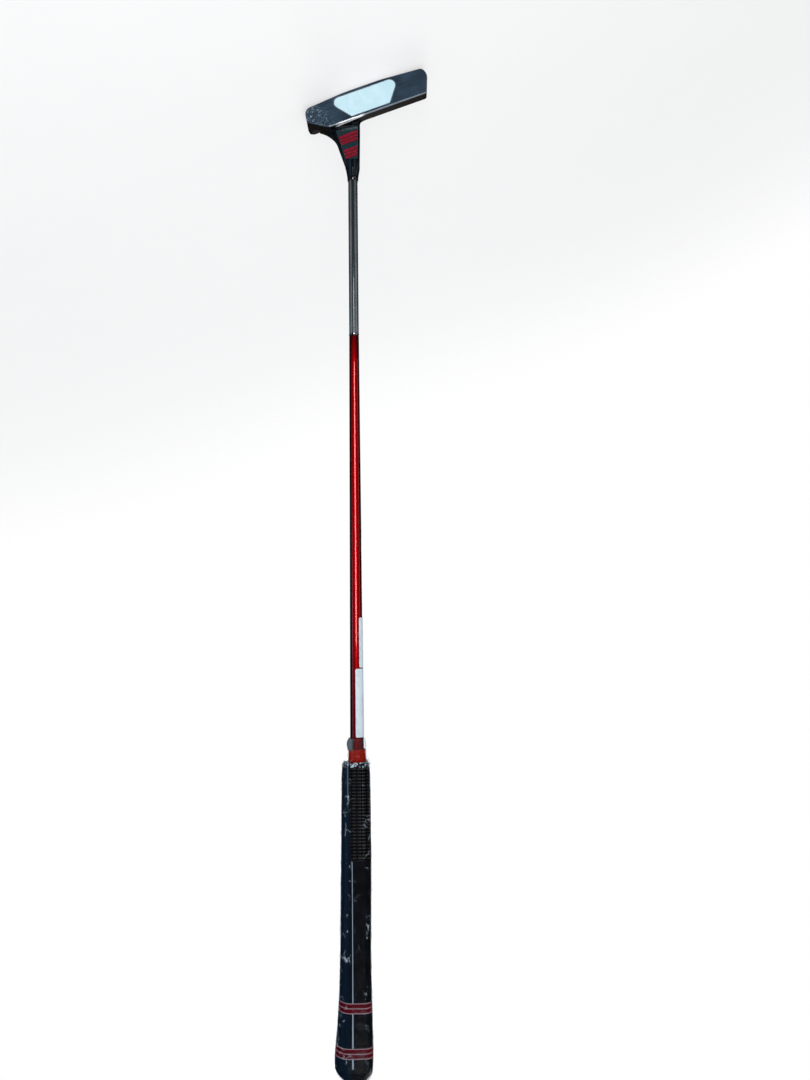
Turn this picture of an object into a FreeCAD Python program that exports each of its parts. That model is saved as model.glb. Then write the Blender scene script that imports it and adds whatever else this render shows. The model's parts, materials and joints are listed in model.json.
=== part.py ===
"""Blade putter with a triangular hosel, two-piece shaft, pistol grip and two screw-in sole weights.

Row frame, millimetres: the club stands at address. The origin is the middle of the flat part of the sole.
+X runs from toe to heel, -Y is the way the face looks (the target), +Z is up.
Parts on the shaft are drawn in the shaft frame: Z up the shaft from the ground, X towards the heel side,
Y as in the row frame. lean() then tips them to the lie angle.
"""

import FreeCAD, Part
import math
import os
import re
import Sketcher

Vector = FreeCAD.Vector
TINY = 1e-6

DIMENSIONS = [
    # club
    ("club_length", 864, "ground to butt, along the shaft (34 inch)"),
    ("lie_angle", 70, "shaft to ground"),
    ("shaft_ground_x", 9, "where the shaft axis meets the ground"),
    ("shaft_offset", 3, "shaft axis ahead of the face"),
    # blade
    ("face_y", -12, "plane of the face"),
    ("face_height", 27.4, "topline above the ground"),
    ("topline_depth", 9, "front to back at the top"),
    ("head_depth", 30, "front to back at the sole"),
    ("toe_top_x", -54.5, "toe end of the topline"),
    ("toe_wide_x", -61.5, "widest point of the toe"),
    ("toe_wide_z", 10.3, "its height"),
    ("toe_low_x", -59.1, "toe end of the sole"),
    ("heel_shoulder_x", 42.2, "where the topline starts to fall to the heel"),
    ("heel_top_x", 59.7, "heel end, upper corner"),
    ("heel_top_z", 15.8, "its height"),
    ("heel_low_x", 57.5, "heel end of the sole"),
    ("sole_flat", 18, "half length of the flat part of the sole"),
    ("sole_rise", 2.9, "how far the sole has risen at toe and heel"),
    ("toe_corner", 15, "corner radius of the toe, seen from above"),
    ("heel_corner", 20, "corner radius of the heel, seen from above"),
    ("bumper_root", 19.5, "height of the toe and heel masses behind the topline"),
    ("bumper_edge", 14, "their height near the back"),
    ("cavity_half", 26, "half length of the cavity between them"),
    ("flange_top", 8.5, "height of the flange in the cavity"),
    ("insert_top_half", 18.9, "face insert, half length of the upper edge"),
    ("insert_top_z", 24.8, "upper edge"),
    ("insert_low_half", 35.4, "half length of the lower edge before its corners are rounded"),
    ("insert_low_z", 3, "lower edge"),
    ("insert_corner", 5.2, "rounding of the lower corners"),
    ("insert_thick", 4.2, "thickness"),
    ("insert_gap", 0.15, "gap round it"),
    ("tape_thick", 0.4, "bonding tape behind it"),
    ("line_wide", 1.8, "sight line width"),
    ("line_deep", 0.5, "sight line depth"),
    # hosel, in the shaft frame
    ("neck_r", 6.2, "radius where the neck starts"),
    ("neck_end_r", 5.1, "radius at its end"),
    ("neck_top", 88, "end of the neck"),
    ("neck_foot", 82, "where the beam has become round"),
    ("beam_edge", 6.2, "toe edge of the beam, parallel to the shaft"),
    ("beam_heel_x", 18.2, "heel edge of the beam, where it meets the blade"),
    ("beam_heel_z", 39, "its height up the shaft"),
    ("beam_flare", 22, "radius of the flare there"),
    ("beam_front", 7.8, "front of the beam at the topline, behind the shaft axis"),
    ("beam_back", 17, "back of the beam"),
    ("beam_foot", 31, "where the beam starts to lean forward"),
    ("beam_head", 76, "where the lean ends"),
    ("beam_top", 77.5, "where the beam starts to become round"),
    ("badge_deep", 1.5, "recess for the badge"),
    ("badge_thick", 0.9, "badge plate"),
    ("badge_gap", 0.05, "gap round it"),
    ("badge_toe", -4.6, "toe edge of the badge"),
    ("badge_foot", 1.4, "its corner on the toe side, up the slope"),
    ("badge_heel_x", 15.6, "its corner on the heel side"),
    ("badge_heel_z", 8.6, "height of that corner up the slope"),
    ("badge_tip_x", 6.2, "its upper corner on the heel side"),
    ("badge_head", 44.5, "its upper edge"),
    ("bar_high", 0.35, "height of the raised bars on the badge"),
    ("bar_foot", 9, "first bar, up the slope"),
    ("bar_wide", 3.2, "width of a bar"),
    ("bar_step", 4.4, "bar to bar"),
    ("bar_group", 19.4, "first set of bars to the second"),
    ("socket_floor", 76.6, "bottom of the shaft socket"),
    ("socket_r", 4.37, "socket radius"),
    ("ferrule_top", 92.4, "end of the ferrule"),
    # shaft, in the shaft frame
    ("tip_r", 4.25, "steel tip radius"),
    ("tip_wall", 0.8, "steel wall"),
    ("joint_height", 236, "joint between steel and graphite"),
    ("spigot", 24, "steel inside the graphite"),
    ("spigot_r", 3.2, "its radius"),
    ("ring_long", 2.4, "trim ring"),
    ("ring_r", 4.5, "its radius"),
    ("tube_low_r", 4.3, "graphite radius at the joint"),
    ("tube_high_r", 6.95, "graphite radius at the butt"),
    ("tube_wall", 1.3, "graphite wall"),
    ("tube_top", 858, "butt end of the graphite"),
    ("plug_long", 30, "counterweight in the butt"),
    ("plug_bore", 1.5, "hole through the counterweight"),
    ("vent_r", 1.25, "vent hole in the end cap"),
    # grip, in the shaft frame
    ("grip_front_r", 6, "rounding of the edges of the flat"),
    ("wrap_thick", 0.35, "grip tape"),
    ("skin", 0.35, "depth of the coloured inlays"),
    ("side_line_x", 4.7, "side lines, towards the back of the grip"),
    ("side_line_wide", 1.6, "their width"),
    ("side_line_foot", 688, "their lower end"),
    ("side_line_top", 847, "their upper end"),
    ("hoop_foot", 797.5, "first set of hoops"),
    ("hoop_step", 34, "first set to second set"),
    ("hoop_red", 3, "height of each red hoop"),
    ("hoop_white", 0.7, "height of the white hoops beside them"),
    ("film_gap", 0.4, "wrap film above the grip"),
    ("film_thick", 0.2, "wrap film"),
    ("film_foot", 589.5, "where the film starts on the shaft"),
    ("cuff_foot", 598.5, "red cuff below the grip, its start"),
    ("cuff_low_r", 7, "its radius there"),
    ("cuff_high_r", 7.7, "its radius at the grip"),
    ("label_thick", 0.14, "paper labels"),
    ("label_low", 488, "lower label, its lower end"),
    ("label_low_end", 530.4, "its upper end"),
    ("label_high", 531.4, "upper label, its lower end"),
    ("label_high_end", 588.6, "its upper end"),
    # sole weights, in their own frame: Z into the head from the sole
    ("sole_weight_x", 43, "centre of each weight from the middle of the sole"),
    ("sole_weight_y", 2, "centre of each weight"),
    ("weight_inset", 0.2, "weight below the sole surface"),
    ("weight_head_r", 6.9, "weight head"),
    ("weight_head", 2.9, "its thickness"),
    ("washer_thick", 0.6, "sealing washer"),
    ("shank_r", 3.95, "thread crest radius"),
    ("shank_end", 10, "end of the thread"),
    ("thread_pitch", 1.25, "pitch"),
    ("thread_deep", 0.6, "depth"),
    ("running_gap", 0.06, "radial clearance of thread and head in the sole"),
    ("seat", 0.02, "gap between fixed pieces"),
]

# Sections of the grip, in the shaft frame, each with the four measures named below.
GRIP_MEASURES = [
    ("z", "height up the shaft"),
    ("flat", "axis to the flat side"),
    ("back", "axis to the back"),
    ("half", "half width"),
]
GRIP_STATIONS = {
    "mouth": (609, 10.1, 12.4, 11.2),
    "collar": (618, 10.8, 13.1, 11.9),
    "waist": (690, 11.3, 14.1, 12),
    "palm": (760, 10.4, 15, 12.1),
    "belly": (795, 10.8, 16.1, 12.6),
    "bulge": (822, 11.3, 18, 13.4),
    "crest": (843, 11.7, 20.1, 13.9),
    "cap": (851, 11, 19.9, 13.6),
}
for station, values in GRIP_STATIONS.items():
    for (measure, meaning), value in zip(GRIP_MEASURES, values):
        DIMENSIONS.append((f"{station}_{measure}", value, f"grip {station}: {meaning}"))

doc = FreeCAD.newDocument("putter")
sheet = doc.addObject("Spreadsheet::Sheet", "Sizes")
for row, (alias, value, meaning) in enumerate(DIMENSIONS, start=1):
    sheet.set(f"A{row}", alias)
    sheet.set(f"B{row}", str(value))
    sheet.set(f"C{row}", meaning)
    sheet.setAlias(f"B{row}", alias)
doc.recompute()
ALIASES = {alias for alias, _, _ in DIMENSIONS}
WORD = re.compile(r"[a-z_]+[a-z]")


def on_sheet(text):
    """The same expression with each dimension's name made a reference to the spreadsheet."""
    return WORD.sub(lambda m: "Sizes." + m.group() if m.group() in ALIASES else m.group(), str(text))


def size(text):
    """The value of an expression on the sheet's dimensions."""
    return float(sheet.evalExpression(on_sheet(text)))


def bind(thing, name, text):
    thing.setExpression(name, on_sheet(text))


# --- sketches -------------------------------------------------------------------------------------------


def new_body(label):
    body = doc.addObject("PartDesign::Body", label)
    body.Label = label
    return body


def new_sketch(body, plane, height=None):
    """An empty sketch on one of the body's own origin planes, raised along the plane's normal by height."""
    sketch = body.newObject("Sketcher::SketchObject", body.Name + "_sketch")
    support = [f for f in body.Origin.OriginFeatures if f.Role == plane][0]
    sketch.AttachmentSupport = (support, "")
    sketch.MapMode = "FlatFace"
    if height is not None:
        bind(sketch, "AttachmentOffset.Base.z", height)
    return sketch


def add_outline(sketch, corners):
    """Draws a closed outline. Each corner is (x, y) or (x, y, radius), all expressions on the sheet.

    A corner is a construction point held by two bound distances. The sides run through those points, and
    a rounded corner is an arc with a bound radius, tangent to its two sides.
    """
    spots = [Vector(size(c[0]), size(c[1]), 0) for c in corners]
    radii = [c[2] if len(c) > 2 else None for c in corners]
    count = len(corners)
    starts, ends, arcs = list(spots), list(spots), {}
    for i, radius in enumerate(radii):
        if radius is None:
            continue
        before = (spots[i - 1] - spots[i]).normalize()
        after = (spots[(i + 1) % count] - spots[i]).normalize()
        half = before.getAngle(after) / 2
        reach = size(radius) / math.tan(half)
        ends[i] = spots[i] + before * reach
        starts[i] = spots[i] + after * reach
        middle = spots[i] + (before + after).normalize() * (size(radius) / math.sin(half))
        left_turn = before.cross(after).z < 0
        first, last = (ends[i], starts[i]) if left_turn else (starts[i], ends[i])
        angles = [math.atan2(p.y - middle.y, p.x - middle.x) for p in (first, last)]
        circle = Part.Circle(middle, Vector(0, 0, 1), size(radius))
        arcs[i] = (Part.ArcOfCircle(circle, angles[0], angles[1]), left_turn)

    points = [sketch.addGeometry(Part.Point(spot), True) for spot in spots]
    sides = [
        sketch.addGeometry(Part.LineSegment(starts[i], ends[(i + 1) % count]), False) for i in range(count)
    ]
    for i, corner in enumerate(corners):
        for kind, text in (("DistanceX", corner[0]), ("DistanceY", corner[1])):
            made = sketch.addConstraint(Sketcher.Constraint(kind, -1, 1, points[i], 1, size(text)))
            bind(sketch, f"Constraints[{made}]", text)
        side_in, side_out = sides[i - 1], sides[i]
        if i not in arcs:
            sketch.addConstraint(Sketcher.Constraint("Coincident", side_in, 2, points[i], 1))
            sketch.addConstraint(Sketcher.Constraint("Coincident", side_out, 1, points[i], 1))
            continue
        shape, left_turn = arcs[i]
        arc = sketch.addGeometry(shape, False)
        into, out_of = (1, 2) if left_turn else (2, 1)
        sketch.addConstraint(Sketcher.Constraint("PointOnObject", points[i], 1, side_in))
        sketch.addConstraint(Sketcher.Constraint("PointOnObject", points[i], 1, side_out))
        sketch.addConstraint(Sketcher.Constraint("Tangent", side_in, 2, arc, into))
        sketch.addConstraint(Sketcher.Constraint("Tangent", arc, out_of, side_out, 1))
        made = sketch.addConstraint(Sketcher.Constraint("Radius", arc, size(corner[2])))
        bind(sketch, f"Constraints[{made}]", corner[2])


def add_circle(sketch, x, y, radius):
    middle = Vector(size(x), size(y), 0)
    circle = sketch.addGeometry(Part.Circle(middle, Vector(0, 0, 1), size(radius)), False)
    for kind, text in (("DistanceX", x), ("DistanceY", y)):
        made = sketch.addConstraint(Sketcher.Constraint(kind, -1, 1, circle, 3, size(text)))
        bind(sketch, f"Constraints[{made}]", text)
    made = sketch.addConstraint(Sketcher.Constraint("Radius", circle, size(radius)))
    bind(sketch, f"Constraints[{made}]", radius)


# --- features -------------------------------------------------------------------------------------------


def pad(body, sketch, length, backwards=False, both_ways=False):
    feature = body.newObject("PartDesign::Pad", body.Name + "_pad")
    feature.Profile = sketch
    feature.Reversed = backwards
    feature.SideType = "Symmetric" if both_ways else "One side"
    bind(feature, "Length", length)
    doc.recompute()
    return feature


def pocket(body, sketch, depth, backwards=False, both_ways=False):
    """Cuts the body, and stops the script if the cut removed nothing."""
    before = body.Shape.Volume
    feature = body.newObject("PartDesign::Pocket", body.Name + "_pocket")
    feature.Profile = sketch
    feature.Reversed = backwards
    feature.SideType = "Symmetric" if both_ways else "One side"
    bind(feature, "Length", depth)
    doc.recompute()
    if body.Shape.Volume > before - TINY:
        raise RuntimeError(f"{feature.Name} cut nothing")
    return feature


def round_edges(body, radius, wanted):
    """Fillets the edges of the body's last feature that wanted(edge) picks."""
    base = body.Tip
    names = [f"Edge{i}" for i, e in enumerate(base.Shape.Edges, start=1) if wanted(e)]
    if not names:
        raise RuntimeError(f"{body.Label} has no such edge to round")
    feature = body.newObject("PartDesign::Fillet", body.Name + "_fillet")
    feature.Base = (base, names)
    bind(feature, "Radius", radius)
    doc.recompute()
    return feature


def turned(label, corners, angle=360, start=0):
    """A body revolved about its Z axis from an outline of (radius, height) corners."""
    body = new_body(label)
    sketch = new_sketch(body, "XZ_Plane")
    add_outline(sketch, corners)
    feature = body.newObject("PartDesign::Revolution", body.Name + "_turn")
    feature.Profile = sketch
    feature.ReferenceAxis = ([f for f in body.Origin.OriginFeatures if f.Role == "Z_Axis"][0], [""])
    feature.Angle = angle
    doc.recompute()
    body.Placement.Rotation = FreeCAD.Rotation(Vector(0, 0, 1), start)
    return body


def lean(thing):
    """Moves a thing from the shaft frame to the row frame."""
    turn = thing.Placement.Rotation
    thing.Placement = shaft_frame().multiply(FreeCAD.Placement(thing.Placement.Base, turn))
    return thing


def shaft_frame():
    base = Vector(size("shaft_ground_x"), size("face_y - shaft_offset"), 0)
    return FreeCAD.Placement(base, FreeCAD.Rotation(Vector(0, 1, 0), size("90 - lie_angle")))


def combine(kind, label, base, tool):
    feature = doc.addObject("Part::" + kind, label)
    feature.Base = base
    feature.Tool = tool
    feature.Label = label
    doc.recompute()
    return feature


def group(label, things):
    feature = doc.addObject("Part::Compound", label)
    feature.Links = things
    feature.Label = label
    doc.recompute()
    return feature


# --- putter head ----------------------------------------------------------------------------------------


def blade():
    """The head without its hosel: face wall, flange, toe and heel masses, recesses for insert and line."""
    body = new_body("blade")
    wall_back = "face_y + topline_depth"
    back = "face_y + head_depth"

    outline = new_sketch(body, "XZ_Plane", "-face_y")
    add_outline(
        outline,
        [
            ("toe_top_x", "face_height", "2.5"),
            ("toe_wide_x", "toe_wide_z", "10"),
            ("toe_low_x", "sole_rise", "5"),
            ("-sole_flat", "0", "110"),
            ("sole_flat", "0", "110"),
            ("heel_low_x", "sole_rise", "7"),
            ("heel_top_x", "heel_top_z", "4"),
            ("heel_shoulder_x", "face_height", "14"),
        ],
    )
    pad(body, outline, "head_depth", backwards=True)

    plan = new_sketch(body, "XY_Plane")
    add_outline(plan, [("-90", "-40"), ("90", "-40"), ("90", "50"), ("-90", "50")])
    add_outline(
        plan,
        [
            ("toe_wide_x - 1", "face_y - 1"),
            ("heel_top_x + 1", "face_y - 1"),
            ("heel_top_x", back, "heel_corner"),
            ("toe_wide_x", back, "toe_corner"),
        ],
    )
    pocket(body, plan, "4 * face_height", both_ways=True)

    masses = new_sketch(body, "YZ_Plane")
    add_outline(
        masses,
        [
            (wall_back, "face_height + 10"),
            (wall_back, "bumper_root", "3"),
            (back + " - 5", "bumper_edge", "5"),
            (back + " + 3", "bumper_edge - 6.5"),
            (back + " + 10", "bumper_edge - 6.5"),
            (back + " + 10", "face_height + 10"),
        ],
    )
    pocket(body, masses, "200", both_ways=True)

    cavity = new_sketch(body, "XY_Plane", "flange_top")
    add_outline(
        cavity,
        [
            ("-cavity_half", wall_back, "4.5"),
            ("cavity_half", wall_back, "4.5"),
            ("cavity_half + 3", back + " + 5"),
            ("-cavity_half - 3", back + " + 5"),
        ],
    )
    pocket(body, cavity, "face_height", backwards=True)

    relief = new_sketch(body, "YZ_Plane")
    add_outline(relief, [(back + " - 5.5", "-1"), (back + " + 1", "-1"), (back + " + 1", "5.5")])
    pocket(body, relief, "200", both_ways=True)
    round_edges(body, "0.8", on_face_rim)

    recess = new_sketch(body, "XZ_Plane", "-face_y")
    add_insert_outline(recess, "0")
    pocket(body, recess, "insert_thick + tape_thick + 2 * seat")

    groove = new_sketch(body, "XY_Plane", "flange_top")
    add_sight_line(groove, "0")
    pocket(body, groove, "line_deep")
    return body


def on_face_rim(edge):
    """True for the outer edges of the face."""
    box = edge.BoundBox
    return box.YMax < size("face_y") + 0.01


def add_insert_outline(sketch, inset):
    """The insert's trapezoid, seen from the front, drawn inset all round."""
    add_outline(
        sketch,
        [
            (f"-insert_top_half + {inset}", f"insert_top_z - {inset}", "1"),
            (f"-insert_low_half + 1.6 * {inset}", f"insert_low_z + {inset}", "insert_corner"),
            (f"insert_low_half - 1.6 * {inset}", f"insert_low_z + {inset}", "insert_corner"),
            (f"insert_top_half - {inset}", f"insert_top_z - {inset}", "1"),
        ],
    )


def add_sight_line(sketch, inset):
    half = f"line_wide / 2 - {inset}"
    front = f"face_y + topline_depth + 2 + {inset}"
    end = f"face_y + head_depth - 2.5 - {inset}"
    add_outline(sketch, [(f"-({half})", front), (half, front), (half, end), (f"-({half})", end)])


def hosel():
    """Flat triangular beam that leans forward to meet the shaft and turns into a round neck."""
    body = new_body("hosel")
    foot = "(face_height - beam_edge * cos(lie_angle * 1 deg)) / sin(lie_angle * 1 deg)"
    front = new_sketch(body, "XZ_Plane")
    add_outline(
        front,
        [
            ("-beam_edge", "beam_top"),
            ("-beam_edge", foot, "3"),
            ("-beam_edge - 6", f"{foot} - 2.2"),
            ("-beam_edge - 6", f"{foot} - 6"),
            ("-beam_edge + 4", f"{foot} - 9"),
            ("beam_heel_x - 6", "beam_heel_z - 17"),
            ("beam_heel_x + 12", "beam_heel_z - 12"),
            ("beam_heel_x + 13", "beam_heel_z - 3.4"),
            ("beam_heel_x", "beam_heel_z", "beam_flare"),
            ("neck_r + 0.8", "beam_top - 1", "3"),
            ("neck_r + 0.8", "beam_top"),
        ],
    )
    pad(body, front, "80", both_ways=True)

    side = new_sketch(body, "YZ_Plane")
    add_outline(
        side,
        [
            ("-60", "0"),
            ("beam_front", "0"),
            ("beam_front", "beam_foot", "2"),
            ("-neck_r", "beam_head", "3"),
            ("-neck_r", "120"),
            ("-60", "120"),
        ],
    )
    pocket(body, side, "200", both_ways=True)
    rear = new_sketch(body, "YZ_Plane")
    add_outline(
        rear,
        [
            ("60", "0"),
            ("60", "120"),
            ("neck_r", "120"),
            ("neck_r", "beam_head", "3"),
            ("beam_back", "beam_foot + 9", "20"),
            ("beam_back", "0"),
        ],
    )
    pocket(body, rear, "200", both_ways=True)
    round_edges(body, "2", rises)

    undercut = new_sketch(body, "YZ_Plane", "7.5")
    add_outline(
        undercut,
        [
            ("60", "10"),
            ("60", "38"),
            ("beam_back", "34"),
            ("topline_depth + shaft_offset - 1", "23"),
            ("9", "10"),
        ],
    )
    pocket(body, undercut, "60")

    low = new_sketch(body, "XY_Plane", "beam_top")
    add_ring_section(low, "-beam_edge", "neck_r + 0.8", "neck_r", "2")
    high = new_sketch(body, "XY_Plane", "neck_foot")
    inner = "neck_r - 0.15"
    add_ring_section(high, f"-({inner})", inner, inner, f"0.99 * ({inner})")
    loft(body, [low, high])
    neck_low = new_sketch(body, "XY_Plane", "neck_foot - 0.6")
    add_circle(neck_low, "0", "0", "neck_r")
    neck_high = new_sketch(body, "XY_Plane", "neck_top")
    add_circle(neck_high, "0", "0", "neck_end_r")
    loft(body, [neck_low, neck_high])
    return lean(body)


def rises(edge):
    """True for the long edges that run up the beam."""
    box = edge.BoundBox
    return box.ZMax > 36 and box.ZLength > 0.45 * edge.Length and box.ZLength > 0.5


def add_ring_section(sketch, left, right, half, corner):
    """A rectangle with equally rounded corners, from left to right and from -half to half."""
    corners = [(left, f"-({half})"), (right, f"-({half})"), (right, half), (left, half)]
    add_outline(sketch, [corner_at + (corner,) for corner_at in corners])


def in_badge_frame(thing):
    """Places a thing drawn on the hosel's sloping front: X as the shaft's, Y up the slope, Z out of it."""
    slope = math.atan2(size("beam_front + neck_r"), size("beam_head - beam_foot"))
    base = Vector(0, size("beam_front"), size("beam_foot"))
    turn = FreeCAD.Rotation(Vector(1, 0, 0), 90 + math.degrees(slope))
    thing.Placement = shaft_frame().multiply(FreeCAD.Placement(base, turn))
    return thing


def badge_solid(label, inset, bottom, height):
    """A plate with the badge's outline, its underside at bottom, measured from the hosel's front."""
    body = new_body(label)
    sketch = new_sketch(body, "XY_Plane", bottom)
    add_outline(
        sketch,
        [
            (f"badge_toe + {inset}", f"badge_foot + {inset}", "2.2"),
            (f"badge_heel_x - 1.3 * {inset}", f"badge_heel_z + 1.2 * {inset}", "1"),
            (f"badge_tip_x - {inset}", f"badge_head - {inset}", "0.8"),
            (f"badge_toe + {inset}", f"badge_head - {inset}", "0.8"),
        ],
    )
    pad(body, sketch, height)
    return in_badge_frame(body)


def badge_bars():
    """Two sets of three straight raised bars: the badge's outline with the gaps between bars cut out."""
    body = badge_solid("badge_bars", "0.5", "badge_thick - badge_deep + seat", "bar_high")
    body.AllowCompound = True
    feet = [f"bar_foot + {n} * bar_step + {g} * bar_group" for g in range(2) for n in range(3)]
    lows = ["-30"] + [f"{foot} + bar_wide" for foot in feet]
    highs = feet + ["80"]
    for low, high in zip(lows, highs):
        gap = new_sketch(body, "XY_Plane", "0")
        add_outline(
            gap,
            [("-12", f"{low} - 5"), ("20", f"{low} + 11"), ("20", f"{high} + 11"), ("-12", f"{high} - 5")],
        )
        pocket(body, gap, "badge_deep")
    return body


def socket():
    """Cutter for the shaft socket."""
    corners = [("0", "socket_floor"), ("socket_r", "socket_floor"), ("socket_r", "120"), ("0", "120")]
    return lean(turned("socket", corners))


def weight_bore(label, side):
    """Cutter for one sole weight: counterbore and threaded bore."""
    wide = "weight_head_r + running_gap"
    narrow = "shank_r + running_gap"
    seat_height = "weight_inset + weight_head + washer_thick + 2 * seat"
    corners = [
        ("0", "-5"),
        (wide, "-5"),
        (wide, seat_height),
        (narrow, seat_height),
        (narrow, "shank_end + 0.6"),
        ("0", "shank_end + 2"),
    ]
    return into_sole(turned(label, corners), side)


def into_sole(thing, side):
    """Places a thing drawn in a weight's own frame: side is +1 at the heel and -1 at the toe."""
    run = size("heel_low_x - sole_flat")
    slope = math.atan2(size("sole_rise"), run)
    height = size("sole_rise") * (size("sole_weight_x - sole_flat")) / run
    base = Vector(side * size("sole_weight_x"), size("sole_weight_y"), height)
    thing.Placement = FreeCAD.Placement(base, FreeCAD.Rotation(Vector(0, 1, 0), -side * math.degrees(slope)))
    return thing


def head_body():
    solid = combine("Fuse", "blade_and_hosel", blade(), hosel())
    cutters = [
        socket(),
        badge_solid("badge_recess", "0", "-badge_deep", "6"),
        weight_bore("heel_bore", 1),
        weight_bore("toe_bore", -1),
    ]
    return combine("Cut", "head_body", solid, group("head_cutters", cutters))


def insert_piece(label, front, thick):
    """A plate with the insert's outline, its front face at a distance behind the face plane."""
    body = new_body(label)
    sketch = new_sketch(body, "XZ_Plane", f"-face_y - ({front})")
    add_insert_outline(sketch, "insert_gap")
    pad(body, sketch, thick, backwards=True)
    return body


def sight_line():
    body = new_body("sight_line_infill")
    sketch = new_sketch(body, "XY_Plane", "flange_top - line_deep + seat")
    add_sight_line(sketch, "seat")
    pad(body, sketch, "line_deep - 0.12")
    return body


def sole_weight(label, side):
    """Screw-in weight: wide head with a six-lobed driver recess, and a threaded shank."""
    top = "weight_inset + weight_head"
    body = turned(
        label,
        [
            ("0", "weight_inset"),
            ("weight_head_r - 0.5", "weight_inset"),
            ("weight_head_r", "weight_inset + 0.5"),
            ("weight_head_r", top),
            ("shank_r", top),
            ("shank_r", "shank_end - 0.7"),
            ("shank_r - 0.7", "shank_end"),
            ("0", "shank_end"),
        ],
    )
    middle = new_sketch(body, "XY_Plane", "weight_inset")
    add_circle(middle, "0", "0", "2.3")
    pocket(body, middle, "2", backwards=True)
    lobe = new_sketch(body, "XY_Plane", "weight_inset")
    add_circle(lobe, "2.35", "0", "0.55")
    cut = pocket(body, lobe, "2", backwards=True)
    around = body.newObject("PartDesign::PolarPattern", label + "_lobes")
    around.Originals = [cut]
    around.Axis = (lobe, ["N_Axis"])
    around.Angle = 360
    around.Occurrences = 6
    body.Tip = around
    doc.recompute()

    profile = new_sketch(body, "XZ_Plane")
    start = "weight_inset + weight_head + washer_thick + 0.5"
    add_outline(
        profile,
        [
            ("shank_r + 0.1", f"{start} - 0.4"),
            ("shank_r - thread_deep", f"{start} - 0.08"),
            ("shank_r - thread_deep", f"{start} + 0.08"),
            ("shank_r + 0.1", f"{start} + 0.4"),
        ],
    )
    thread = body.newObject("PartDesign::SubtractiveHelix", label + "_thread")
    thread.Profile = profile
    thread.ReferenceAxis = (profile, ["V_Axis"])
    thread.Mode = "pitch-height-angle"
    bind(thread, "Pitch", "thread_pitch")
    bind(thread, "Height", f"shank_end + 1 - ({start})")
    doc.recompute()
    return into_sole(body, side)


def weight_washer(label, side):
    low = "weight_inset + weight_head + seat"
    high = "weight_inset + weight_head + washer_thick"
    inner, outer = "shank_r + 0.3", "weight_head_r - 0.4"
    corners = [(inner, low), (outer, low), (outer, high), (inner, high)]
    return into_sole(turned(label, corners), side)


# --- shaft ----------------------------------------------------------------------------------------------


def tube_r(height):
    """Radius of the graphite tube, as an expression, at a height up the shaft."""
    foot = "(joint_height + ring_long)"
    return f"(tube_low_r + (tube_high_r - tube_low_r) * ({height} - {foot}) / (tube_top - {foot}))"


def shaft_sleeve(label, low, high, gap, thick, angle=360, start=0):
    """A thin sleeve that follows the taper of the graphite tube."""
    corners = [
        (f"{tube_r(low)} + {gap}", low),
        (f"{tube_r(low)} + {gap} + {thick}", low),
        (f"{tube_r(high)} + {gap} + {thick}", high),
        (f"{tube_r(high)} + {gap}", high),
    ]
    return lean(turned(label, corners, angle, start))


def ferrule():
    """Tapered collar with a groove near its end."""
    inner = "tip_r + seat"
    corners = [
        (inner, "neck_top + seat"),
        ("neck_end_r", "neck_top + seat"),
        ("neck_end_r - 0.12", "ferrule_top - 2"),
        ("neck_end_r - 0.4", "ferrule_top - 1.8"),
        ("neck_end_r - 0.4", "ferrule_top - 1.4"),
        ("neck_end_r - 0.16", "ferrule_top - 1.2"),
        ("tip_r + 0.35", "ferrule_top"),
        (inner, "ferrule_top"),
    ]
    return lean(turned("ferrule", corners))


def epoxy():
    outer = "socket_r - seat"
    inner = "tip_r + seat"
    floor = "socket_floor + 0.1"
    corners = [
        ("0", "socket_floor + seat"),
        (outer, "socket_floor + seat"),
        (outer, "neck_top"),
        (inner, "neck_top"),
        (inner, floor),
        ("0", floor),
    ]
    return lean(turned("hosel_epoxy", corners))


def steel_tip():
    bore = "tip_r - tip_wall"
    corners = [
        (bore, "socket_floor + 0.12"),
        ("tip_r", "socket_floor + 0.12"),
        ("tip_r", "joint_height"),
        ("spigot_r", "joint_height"),
        ("spigot_r", "joint_height + spigot"),
        ("spigot_r - tip_wall", "joint_height + spigot"),
        ("spigot_r - tip_wall", "joint_height - 2"),
        (bore, "joint_height - 4"),
    ]
    return lean(turned("shaft_steel_tip", corners))


def joint_ring():
    inner = "spigot_r + seat"
    low = "joint_height + seat"
    high = "joint_height + ring_long - seat"
    corners = [
        (inner, low),
        ("ring_r - 0.15", low),
        ("ring_r", f"{low} + 0.15"),
        ("ring_r", f"{low} + 1.1"),
        ("ring_r - 0.2", f"{low} + 1.2"),
        ("ring_r - 0.2", high),
        (inner, high),
    ]
    return lean(turned("shaft_joint_ring", corners))


def graphite_tube():
    foot = "joint_height + ring_long"
    socket_end = "joint_height + spigot + 1"
    corners = [
        ("spigot_r + seat", foot),
        ("tube_low_r", foot),
        ("tube_high_r", "tube_top"),
        ("tube_high_r - tube_wall", "tube_top"),
        (f"{tube_r(socket_end + ' + 4')} - tube_wall", f"{socket_end} + 4"),
        ("spigot_r + seat", socket_end),
    ]
    return lean(turned("shaft_graphite_tube", corners))


def butt_plug():
    low = "tube_top - plug_long"
    corners = [
        ("plug_bore", low),
        (f"{tube_r('(' + low + ')')} - tube_wall - seat", low),
        ("tube_high_r - tube_wall - seat", "tube_top"),
        ("plug_bore", "tube_top"),
    ]
    return lean(turned("butt_counterweight", corners))


# --- grip -----------------------------------------------------------------------------------------------


def loft(body, sketches, ruled=False):
    feature = body.newObject("PartDesign::AdditiveLoft", body.Name + "_loft")
    feature.Profile = sketches[0]
    feature.Sections = sketches[1:]
    feature.Ruled = ruled
    doc.recompute()
    return feature


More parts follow.
